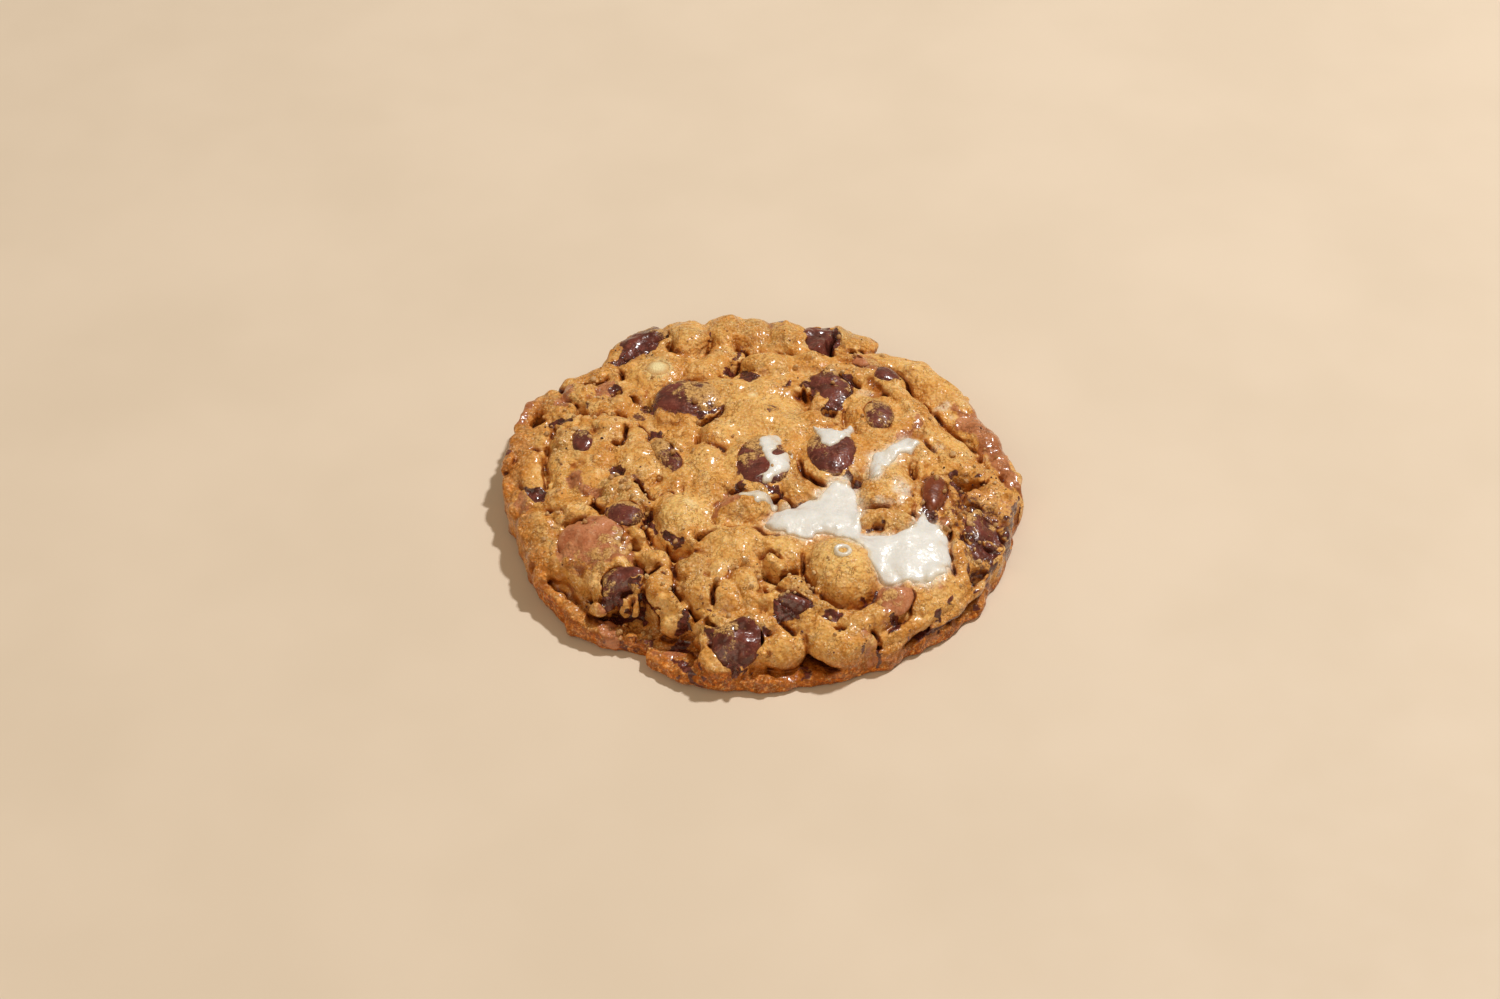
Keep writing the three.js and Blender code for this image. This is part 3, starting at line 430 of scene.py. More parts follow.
# valleys and cracks: depth, width, points x, y
CREASES = [
    (3.0, 1.0, [(18.9, -5.8), (21.3, -6.0), (23.0, -8.4)]),
    (2.8, 0.8, [(-53.5, -25.8), (-51.6, -28.4), (-49.2, -30.6), (-45.6, -34.1),
                (-41.3, -37.6), (-36.5, -39.6), (-32.7, -40.4), (-29.4, -40.4),
                (-27.0, -41.8)]),
    (2.4, 0.4, [(-28.4, -41.0), (-29.2, -43.2), (-30.8, -44.8), (-31.4, -46.6)]),
    (2.8, 0.5, [(-27.0, -41.8), (-25.2, -44.6), (-23.4, -47.2)]),
    (2.6, 0.6, [(-24.4, -49.2), (-20.6, -49.6), (-16.4, -49.2), (-14.0, -50.4)]),
    (1.4, 0.9, [(-56.2, 7.6), (-56.9, 5.4), (-57.6, 3.6)]),
    (1.5, 0.6, [(-50.5, 10.2), (-50.3, 5.2), (-50.6, -0.9), (-50.1, -5.9)]),
    (1.2, 0.6, [(-57, 0.6), (-56.4, -2.3), (-55.3, -5.1)]),
    (1.7, 0.5, [(-32.8, 14.5), (-32.4, 11.3), (-32.2, 8.8), (-33.1, 7), (-36, 8.1)]),
    (1.0, 0.45, [(-30.3, 15.6), (-29.6, 13.8), (-27.4, 11.6), (-26.4, 10.2)]),
    (3.0, 0.9, [(-26.3, 9.4), (-25.3, 8.3), (-26.9, 7.0)]),
    (2.4, 0.6, [(-25.4, 8.2), (-23.8, 7.8)]),
    (2.2, 0.6, [(-29.9, -5.9), (-28.1, -8.7), (-26.4, -10.9), (-24.6, -12.3),
                (-24.6, -14.2)]),
    (1.6, 0.55, [(-36.9, -8.4), (-37.8, -12.3), (-37.4, -14.4), (-36.4, -17.3),
                 (-34.6, -18.4)]),
    (1.8, 0.6, [(-45.3, -15.5), (-43.9, -17.8), (-41, -17.9), (-37.8, -18.8),
                (-35.2, -19.2)]),
    (1.4, 0.5, [(-49.8, -12.3), (-47.4, -13.4), (-45.6, -14.1), (-44.6, -16.6)]),
    (1.0, 0.5, [(-41, -9.8), (-38.9, -12.3), (-37.4, -13.7)]),
    (1.3, 0.5, [(-18.5, -7.0), (-18.1, -10.1), (-20, -10.9), (-24.2, -11.4)]),
    (3.6, 1.0, [(-24.9, -14.6), (-26.6, -18), (-27.0, -20.9), (-24.9, -24.4)]),
    (3.4, 0.8, [(-26.8, -21.6), (-25.4, -25.0), (-23.6, -27.2), (-20.4, -29.2),
                (-17.1, -30.0), (-15.5, -28.2)]),
    (3.0, 0.7, [(-15.4, 12.7), (-12.7, 14.0), (-10.4, 16.4), (-9.2, 18.4)]),
    (1.6, 0.9, [(-15.6, 11.0), (-15.0, 8.0), (-12.8, 5.0), (-9.6, 3.4), (-7.4, 2.2)]),
    (4.4, 1.3, [(-5.8, -9.4), (-5.6, -11.0), (-6.6, -13.0)]),
    (1.6, 0.6, [(-8.6, -13.0), (-10.9, -16.0), (-11.6, -19.6), (-10.2, -22.6)]),
    (2.6, 0.8, [(1.4, -10.8), (2.6, -12.6), (3.6, -13.6)]),
    (2.2, 0.7, [(4.6, -13.4), (6.4, -14.8), (10.2, -15.4)]),
    (4.6, 1.8, [(17.6, -6.4), (19.6, -6.8), (21.4, -6.0)]),
    (3.4, 0.9, [(16.9, 19.0), (15.2, 16.8), (14.2, 14.6)]),
    (1.5, 0.5, [(16.4, 13.4), (17.2, 12.0), (17.7, 10.2)]),
    (1.6, 0.6, [(9.4, -3.7), (13.7, -7.4), (15.4, -9.0)]),
    (1.2, 0.5, [(37.2, -0.1), (37.9, -2.6), (38.6, -4.6)]),
    (1.5, 0.5, [(34.0, -0.4), (33.8, -2.8), (34.8, -5.4)]),
    (1.1, 0.5, [(38.6, 8.4), (39.7, 4.9), (40.4, 2), (40.4, -2.3)]),
    (2.4, 0.8, [(42.6, -3.7), (44.4, -4.9), (46.3, -5.0), (49.4, -3.7)]),
    (2.6, 0.75, [(31.9, 34.6), (35.1, 29.9), (36.9, 26), (39, 22.9), (41.1, 19.6),
                 (42.9, 16.6), (44.8, 14.0), (48.3, 9.4), (50.6, 7.2)]),
    (2.0, 0.7, [(50.6, 7.0), (51.1, 4.1), (51.9, 0.9)]),
    (2.4, 0.7, [(49.7, -13.7), (52.6, -15.3), (55.1, -16.0), (56.9, -15.2),
                (58.0, -12.3)]),
    (2.0, 0.6, [(54.6, 0.4), (55.4, -2.6), (56.4, -4.6)]),
    (3.0, 0.7, [(48.0, -13.2), (49.0, -13.6)]),
    (1.2, 0.45, [(53.4, -23.6), (50.8, -27.4), (47.6, -31.2), (45.0, -34.6)]),
    (1.3, 0.4, [(26.6, -44.6), (29.8, -45.8), (31.4, -44.4)]),
    (2.2, 0.6, [(25.4, -38.6), (24.0, -41.2), (21.6, -43.0), (18.2, -44.2),
                (15.0, -44.0), (11.6, -41.8), (9.6, -39.0), (8.4, -35.8),
                (8.5, -31.8), (9.4, -28.4)]),
    (1.2, 0.5, [(32.2, -38.6), (32.6, -41.4), (31.0, -43.4)]),
    (2.6, 0.7, [(14.2, -50.6), (16.0, -49.9), (17.8, -50.8)]),
    (2.4, 0.7, [(-10.2, -23.9), (-14.0, -25.6), (-15.2, -28.2)]),
    (2.2, 0.6, [(-9.9, -23.3), (-5.9, -22.6), (-0.6, -22.6), (0.9, -24.9),
                (4.8, -26.2)]),
    (1.0, 0.45, [(-1.6, -31.2), (0.1, -31.5), (4.4, -30.6)]),
    (1.8, 0.55, [(-0.6, -35.3), (1.2, -37), (3, -38), (3.7, -39.4)]),
    (1.5, 0.5, [(3, -37.6), (5.1, -36.4), (7.8, -35.7)]),
    (1.7, 0.5, [(-0.9, -38.7), (0.9, -42.6), (2.6, -42.8)]),
    (1.6, 0.4, [(-10.4, -39.4), (-11.6, -42.3), (-11.3, -44.8)]),
    (2.6, 0.7, [(-21.2, -38.7), (-19.6, -42.0), (-16.3, -45.5), (-13.4, -46.6)]),
    (1.8, 0.6, [(-12.9, -46.6), (-12.7, -49.4), (-11.6, -52.0)]),
    (1.8, 0.55, [(-0.6, -47.6), (2.2, -48.8), (5.1, -50.2), (7.0, -52.2)]),
    (1.4, 0.5, [(-2, -46.4), (-0.6, -47.1), (0.9, -45.1)]),
    (2.2, 0.6, [(-29.3, -29.9), (-27.9, -33.4), (-26.5, -36.6)]),
    (1.5, 0.35, [(-26.8, -37.6), (-25.4, -36.4), (-23.2, -34.9), (-22.1, -34.5)]),
    (2.2, 0.5, [(-27.1, -38.6), (-26.4, -42.3), (-25.0, -45.2)]),
    (1.8, 0.55, [(-22.9, -36.6), (-21.2, -39.1), (-19.8, -41.0)]),
    (1.6, 0.35, [(-25.7, -45.9), (-27.7, -46.6), (-28.9, -47.6)]),
    (1.6, 0.5, [(-39.6, -22.8), (-38.4, -24.5), (-35.7, -25.0), (-34.2, -24.2)]),
    (2.6, 0.6, [(-33.0, -23.4), (-31.9, -26.4), (-29.6, -27.9), (-27.2, -27.2)]),
    (1.8, 0.7, [(-25.2, 55), (-23.6, 50.3), (-23.0, 46.7), (-22.6, 43.1)]),
    (3.0, 0.9, [(-23.9, 39.4), (-21, 40.0), (-19.2, 39.9), (-16.7, 40.5),
                (-14.4, 42.6), (-13.4, 45.2), (-12.8, 49.0)]),
    (2.4, 0.6, [(-33.9, 37.8), (-34.1, 35.6), (-34.3, 32.8)]),
    (3.0, 0.7, [(-35.3, 29.6), (-35.4, 26.7), (-34.4, 25.0)]),
    (1.3, 0.5, [(-33.1, 25.2), (-30.3, 23.6), (-27.4, 21.9)]),
    (2.2, 0.6, [(-44.0, 23.5), (-42.8, 21.4), (-41.4, 18.5)]),
    (1.4, 0.5, [(-35.3, 19.2), (-33.9, 17.1), (-32.4, 18.1)]),
    (1.5, 0.6, [(-44.9, 32.0), (-41, 32.6), (-38.6, 33.6), (-36.8, 36.0)]),
    (1.8, 0.7, [(-52.8, 31.0), (-53.0, 26.0), (-53.6, 19.0)]),
    (2.4, 0.6, [(-3.2, 40.6), (-4.8, 38.1), (-6.2, 35.3), (-7.3, 32.4), (-8, 30.3)]),
    (1.8, 0.6, [(-11.2, 32.8), (-9.4, 31), (-7.8, 29.8), (-5.2, 28.6)]),
    (3.8, 1.0, [(-8.4, 49.2), (-6.9, 47.3), (-5.1, 44.3), (-3.4, 42.3), (-1.0, 42.2),
                (1.6, 42.7), (4.4, 42.6), (6.8, 41.4), (9.2, 40.9)]),
    (1.6, 0.6, [(5.2, 27.2), (7.6, 28.4), (9.1, 25.6), (9.9, 22.6), (9.1, 20.8)]),
    (2.4, 0.7, [(21.2, 28.0), (22.6, 28.0), (24.0, 27.6)]),
    (1.6, 0.45, [(28.4, 27.0), (29.3, 24.9), (30.9, 21.8), (30.7, 16), (29.6, 11.0)]),
    (1.5, 0.6, [(19.0, 11.6), (18.8, 17.0), (20.2, 22.4)]),
    (2.6, 0.7, [(21.6, 43.8), (23.2, 42.7), (25.4, 43.6)]),
    (1.6, 0.5, [(33.0, -8.6), (34.8, -12.6), (33.6, -16.4), (31.4, -17.0)]),
    (1.3, 0.5, [(21.6, -15.6), (24.8, -16.4), (29.0, -16.0)]),
    (0.9, 0.5, [(24.4, -22.6), (25.6, -21.6), (27.4, -21.8)]),
    (1.5, 0.5, [(-46.2, -18.6), (-45.4, -23.0), (-46.0, -28.0)]),
    (1.4, 0.5, [(-40.4, -36.6), (-36.6, -37.4), (-33.6, -36.6)]),
]

# outlines of the stains and bare patches on the dough, seen from above, several of the dark
# ones being painted shadow in crevices and cracks: strength, outline
DARK_PATCHES_AND_SHADOWS = [
    (0.44, [(43.8, -9.5), (49.0, -9.6), (53.0, -12.0), (56.4, -16.0), (55.0, -24.0),
            (51.6, -31.0), (47.0, -32.6), (44.2, -28.0), (42.6, -20.0), (42.0, -14.0)]),
    (0.8, [(54.9, -14.6), (56.2, -14.1), (56.0, -17.3), (55.1, -20.1), (53.9, -23.2),
           (53.9, -20.0), (54.4, -17.8)]),
    (0.9, [(19.4, -4.4), (21.8, -4.8), (23.6, -7.2), (23.2, -9.0), (21.2, -7.0), (19.0, -6.6)]),
    (1, [(-12.4, -51.4), (-11.1, -52.5), (-10.0, -53.7), (-8.9, -55.2), (-8.0, -56.6), (-6.7,
         -56.9), (-6.3, -55.6), (-5.4, -54.5), (-4.4, -54.1), (-3.3, -54.3), (-3.5, -55.7),
         (-3.7, -57.4), (-3.1, -57.2), (-4.4, -58.6), (-5.7, -58.2), (-7.4, -58.3), (-9.1,
         -57.3), (-10.6, -56.6), (-11.7, -54.7), (-12.2, -52.9)]),
    (1, [(-3.5, -55.1), (-2.6, -53.9), (-0.9, -53.0), (0.8, -52.3), (1.9, -50.8), (1.1, -50.6),
         (-0.5, -51.2), (-1.8, -51.9), (-3.5, -53.1), (-4.4, -54.1)]),
    (0.6, [(-8.0, -52.1), (-6.3, -52.6), (-4.8, -53.3), (-4.4, -54.2), (-5.6, -55.3), (-6.7,
         -56.4), (-7.8, -55.3), (-8.2, -53.9)]),
    (0.9, [(2.8, -45.2), (4.1, -44.4), (5.0, -42.4), (6.3, -42.9), (7.2, -44.8), (8.7, -44.9),
         (10.3, -44.6), (10.2, -46.1), (8.5, -46.6), (7.2, -47.0), (7.2, -48.2), (7.8,
         -48.7), (5.7, -49.0), (3.7, -48.2), (2.4, -47.2), (2.6, -46.2)]),
    (0.9, [(12.2, -47.3), (13.7, -47.3), (15.3, -46.9), (16.4, -47.2), (15.9, -47.6), (14.8,
         -47.5), (13.5, -47.8), (12.2, -47.6)]),
    (0.95, [(-16.4, -43.7), (-14.0, -44.4), (-12.2, -44.6), (-11.4, -45.6), (-12.5, -45.6),
         (-14.0, -44.7), (-15.8, -44.5), (-16.6, -46.0), (-16.8, -47.0), (-17.5, -47.1),
         (-17.3, -46.2), (-16.9, -43.4)]),
    (0.9, [(-21.1, -48.5), (-19.5, -48.4), (-17.6, -48.0), (-15.5, -50.9), (-13.2, -53.8),
         (-13.9, -53.7), (-15.7, -51.1), (-17.8, -49.7), (-19.5, -49.8), (-21.1, -49.6)]),
    (0.85, [(-20.1, -52.9), (-18.4, -53.1), (-16.8, -53.4), (-15.2, -56.5), (-14.1, -58.1),
         (-13.5, -58.7), (-14.8, -58.2), (-16.1, -57.8), (-17.4, -56.6), (-19.2, -54.5)]),
    (0.7, [(8.0, -54.9), (9.1, -53.8), (10.4, -54.3), (10.2, -55.0), (10.4, -57.2), (9.6,
         -58.2), (8.5, -57.6), (8.9, -56.0)]),
    (1, [(-35.8, -2.0), (-34.5, -0.7), (-33.0, -2.1), (-32.0, -3.5), (-33.1, -5.4), (-34.0,
         -6.6), (-35.5, -4.6)]),
    (0.6, [(-31.0, -5.3), (-29.7, -5.0), (-28.5, -6.4), (-27.1, -8.2), (-25.9, -8.9), (-26.6,
         -9.1), (-28.2, -8.1), (-29.4, -6.1)]),
    (0.8, [(-35.2, -16.3), (-33.8, -16.5), (-32.0, -16.5), (-30.1, -17.4), (-28.7, -18.2),
         (-27.8, -19.4), (-28.7, -20.9), (-30.4, -21.8), (-32.7, -21.4), (-34.1, -20.0),
         (-35.1, -18.0)]),
    (1, [(-27.8, -19.4), (-27.1, -15.5), (-25.7, -14.8), (-25.3, -15.6), (-25.3, -16.9), (-24.3,
         -20.3), (-22.3, -25.0), (-20.5, -26.7), (-18.7, -27.8), (-20.4, -27.9), (-22.7,
         -25.7), (-25.1, -22.0), (-26.7, -20.4), (-27.8, -20.4)]),
    (1, [(-54.5, -5.2), (-52.7, -5.2), (-50.2, -6.3), (-49.9, -8.3), (-50.6, -9.0), (-52.2,
         -8.5), (-53.8, -6.2)]),
    (0.55, [(-49.0, 2.2), (-47.1, 2.1), (-45.2, 1.2), (-43.6, 0.9), (-44.7, 0.0), (-46.8,
         0.2)]),
    (0.95, [(-31.5, 50.6), (-30.3, 66.6), (-28.3, 68.6), (-26.5, 67.8), (-24.4, 53.8), (-23.6,
         50.5), (-23.7, 47.8), (-25.2, 47.4), (-26.3, 43.6), (-28.0, 43.2), (-29.9, 42.5),
         (-31.8, 40.3), (-33.2, 38.6), (-34.7, 38.7), (-37.1, 39.0), (-35.2, 40.3), (-33.7,
         43.2), (-32.2, 44.7), (-34.3, 46.1), (-32.5, 46.6)]),
    (0.9, [(-36.3, 30.0), (-35.4, 30.7), (-34.8, 29.2), (-35.2, 23.0), (-36.5, 28.5)]),
    (0.65, [(-44.4, 25.0), (-43.0, 24.5), (-41.7, 23.6), (-41.3, 20.6), (-42.5, 23.6), (-43.7,
         24.2)]),
    (1, [(-51.3, 17.5), (-50.2, 19.7), (-48.5, 20.0), (-46.6, 17.3), (-45.4, 16.2), (-47.0,
         16.0), (-48.5, 16.1), (-50.3, 17.0)]),
    (0.85, [(-29.0, 21.3), (-27.9, 23.4), (-26.4, 21.9), (-25.5, 18.7), (-25.8, 18.1), (-27.8,
         19.9)]),
    (0.65, [(-30.8, 19.2), (-29.6, 19.2), (-28.6, 17.2), (-27.6, 15.7), (-29.0, 15.8), (-30.4,
         15.8)]),
    (1, [(-27.3, 13.4), (-26.4, 13.4), (-25.4, 12.3), (-23.7, 12.3), (-24.2, 10.7), (-25.9,
         7.8), (-26.8, 6.8), (-26.6, 11.5)]),
    (0.9, [(-6.2, 36.8), (-5.2, 35.2), (-4.0, 34.0), (-3.1, 32.9), (-1.9, 32.0), (-0.2, 31.8),
         (-1.1, 29.6), (-2.6, 28.8), (-3.8, 27.2), (-5.0, 30.7), (-6.2, 36.4)]),
    (0.9, [(-4.5, 45.6), (-5.5, 40.5), (-6.7, 37.1), (-7.4, 35.4), (-6.7, 35.4), (-8.4, 33.6),
         (-10.1, 33.3), (-11.5, 33.7), (-9.8, 33.7), (-8.1, 34.8), (-7.7, 36.8), (-6.5,
         39.3), (-5.3, 46.1)]),
    (0.85, [(-12.9, 50.0), (-11.4, 47.9), (-9.7, 47.0), (-10.2, 46.4), (-12.2, 47.5), (-13.2,
         47.5), (-13.4, 48.0)]),
    (1, [(11.3, 53.5), (12.3, 54.7), (14.2, 51.6), (16.1, 68.6), (17.2, 70.3), (17.3, 54.9),
         (18.4, 51.3), (19.3, 48.3), (19.0, 45.4), (17.5, 44.1), (15.5, 43.7), (13.6, 43.9),
         (11.6, 45.5), (12.2, 47.1)]),
    (1, [(9.6, 29.0), (11.3, 28.6), (13.2, 29.3), (15.2, 31.0), (17.4, 33.1), (19.7, 30.7),
         (21.6, 29.5), (22.6, 28.2), (21.3, 25.9), (20.6, 21.4), (19.0, 21.1), (18.9, 18.7),
         (17.3, 17.6), (15.2, 13.4), (13.8, 14.1), (14.4, 17.6), (15.1, 19.3), (16.1, 21.0),
         (15.2, 22.8), (14.3, 25.0), (12.5, 26.6), (11.2, 24.8), (10.3, 23.9), (9.1, 24.0),
         (8.6, 23.8), (9.3, 25.6), (8.2, 29.2), (6.8, 29.1), (5.8, 25.0), (5.0, 25.3), (6.3,
         29.9), (8.0, 30.3)]),
    (0.5, [(1.2, 17.6), (2.6, 17.6), (4.0, 16.7), (3.3, 15.2), (1.6, 14.3)]),
    (1, [(-16.7, 15.1), (-14.8, 16.0), (-12.5, 16.8), (-10.6, 18.5), (-9.0, 19.1), (-9.7, 18.2),
         (-11.5, 16.6), (-13.4, 15.4), (-15.1, 14.3)]),
    (0.85, [(36.0, -13.6), (37.3, -14.8), (38.9, -15.9), (39.8, -16.0), (39.5, -17.9), (39.0,
         -19.3), (37.8, -20.5), (36.6, -20.4), (35.9, -17.7), (35.4, -16.4)]),
    (0.9, [(43.2, -4.1), (44.6, -3.4), (45.4, -3.7), (46.6, -4.2), (45.9, -4.6), (44.5, -10.0),
         (44.0, -8.8), (43.4, -7.2)]),
    (0.8, [(46.1, -4.0), (47.7, -3.6), (49.3, -2.8), (50.5, -2.7), (49.8, -3.6), (48.2, -3.6),
         (46.8, -4.2)]),
    (0.7, [(43.5, -11.8), (44.9, -11.0), (46.3, -11.0), (47.7, -11.2), (47.9, -14.3), (46.4,
         -11.8), (44.4, -12.8)]),
    (1, [(47.7, -11.2), (49.1, -11.3), (49.9, -12.6), (49.1, -14.3), (47.8, -14.9)]),
    (0.95, [(44.4, -20.1), (46.0, -19.9), (47.6, -20.4), (49.7, -19.7), (51.9, -17.9), (53.7,
         -19.0), (54.6, -19.8), (53.5, -21.9), (52.6, -21.3), (51.1, -22.2), (49.5, -22.8),
         (48.0, -24.7), (46.8, -24.9), (45.5, -24.1), (44.2, -23.3), (44.9, -22.1)]),
    (0.95, [(47.0, -26.2), (48.9, -25.4), (51.1, -24.0), (52.9, -24.0), (54.1, -23.9), (53.9,
         -24.6), (52.3, -26.6), (50.4, -27.6), (48.5, -28.5), (47.2, -27.8)]),
    (0.85, [(59.2, -5.3), (60.2, -5.9), (59.7, -7.9), (58.7, -9.4), (58.3, -10.3), (58.2,
         -10.9), (57.9, -14.0), (56.4, -17.7), (54.7, -22.6), (55.8, -18.8), (56.3, -17.3),
         (56.2, -14.8), (54.7, -15.8), (55.8, -15.2), (57.3, -12.1), (58.1, -9.2)]),
    (1, [(23.4, -23.0), (24.6, -21.9), (26.6, -21.7), (26.1, -22.2), (24.3, -23.1)]),
    (1, [(-6.5, -8.4), (-4.9, -10.0), (-3.5, -10.4), (-4.4, -11.1), (-5.8, -14.0), (-7.2,
         -10.1), (-6.9, -10.0)]),
    (0.9, [(0.1, -10.3), (1.9, -11.4), (3.6, -9.0), (4.5, -8.1), (4.0, -10.6), (3.3, -12.4),
         (2.2, -13.0), (1.3, -12.2)]),
    (1, [(9.0, -13.7), (9.6, -13.6), (10.8, -13.7), (10.3, -14.3), (9.0, -14.2)]),
    (1, [(-35.3, -37.6), (-34.3, -39.2), (-33.0, -39.1), (-31.7, -38.2), (-31.0, -37.3), (-29.4,
         -38.1), (-28.1, -37.9), (-27.2, -39.0), (-26.6, -39.2), (-27.0, -40.3), (-27.9,
         -40.4), (-29.4, -41.4), (-30.7, -42.0), (-31.6, -42.9), (-33.2, -42.1), (-34.3,
         -42.1), (-35.4, -41.6), (-36.1, -40.9), (-35.4, -39.8), (-35.0, -39.2)]),
    (0.8, [(-27.2, -39.4), (-26.4, -39.7), (-26.2, -40.4), (-25.5, -41.1), (-25.8, -41.0),
         (-26.9, -42.6), (-26.3, -40.6), (-26.6, -40.5), (-27.2, -40.4)]),
    (0.9, [(-28.8, -44.5), (-28.4, -44.5), (-29.1, -44.7), (-30.0, -45.6), (-31.3, -46.5),
         (-31.7, -45.9), (-30.4, -44.7), (-29.5, -44.6)]),
    (0.55, [(-38.5, -45.3), (-36.7, -46.1), (-34.8, -46.7), (-33.5, -46.5), (-31.7, -46.7),
         (-29.5, -47.5), (-27.3, -47.2), (-25.1, -46.6), (-23.8, -46.1), (-22.4, -48.7),
         (-20.6, -48.6), (-18.9, -48.4), (-18.9, -50.1), (-21.1, -49.6), (-23.9, -50.2),
         (-27.3, -47.9), (-30.7, -47.4), (-34.0, -46.9), (-37.4, -46.2), (-39.0, -45.1)]),
    (0.8, [(20.0, -43.6), (21.5, -43.0), (22.8, -42.5), (23.8, -41.1), (24.5, -39.4), (25.1,
         -39.4), (24.4, -41.1), (23.5, -42.6), (22.0, -43.0), (20.4, -44.2)]),
    (0.9, [(28.2, -48.0), (29.4, -46.3), (30.1, -45.7), (30.5, -45.7), (29.3, -47.9), (28.1,
         -49.4), (26.6, -50.3), (27.0, -49.5)]),
    (0.9, [(22.5, -53.6), (25.3, -51.4), (28.1, -50.4), (30.8, -49.1), (33.0, -48.1), (34.4,
         -47.0), (35.8, -45.7), (37.7, -44.1), (39.0, -42.8), (39.9, -41.9), (41.3, -39.8),
         (42.7, -38.1), (43.6, -37.9), (42.0, -39.8), (40.4, -41.9), (39.3, -42.9), (37.9,
         -44.3), (36.6, -45.3), (37.1, -45.5), (36.5, -46.1), (35.5, -46.8), (34.9, -46.8),
         (33.1, -48.1), (30.8, -49.5), (28.2, -50.7), (25.3, -51.6), (23.0, -53.6)]),
    (0.9, [(44.9, -35.4), (46.7, -30.2), (49.0, -29.3), (51.2, -29.1), (54.2, -24.5), (55.5,
         -21.4), (53.0, -26.9), (50.8, -30.0), (49.1, -29.7), (47.5, -30.2), (45.3,
         -35.8)]),
    (1, [(38.2, -44.9), (39.3, -44.2), (40.4, -43.3), (41.5, -42.3), (42.7, -40.8), (43.9,
         -39.7), (44.2, -39.7), (43.1, -40.8), (41.6, -42.6), (40.7, -43.4), (39.8, -43.9),
         (39.0, -44.5)]),
    (0.9, [(45.1, -38.2), (47.1, -36.2), (48.7, -35.5), (50.4, -31.7), (51.4, -30.4), (49.4,
         -33.9), (48.1, -36.3), (46.7, -36.7)]),
    (0.5, [(26.4, -51.1), (28.6, -50.5), (31.3, -49.2), (33.8, -48.0), (34.7, -47.1), (35.2,
         -46.9), (33.8, -48.2), (31.6, -49.2), (28.8, -50.8), (26.6, -51.3)]),
    (0.8, [(22.7, -53.9), (23.8, -53.7), (25.3, -53.8), (24.5, -53.9), (23.0, -54.0)]),
]
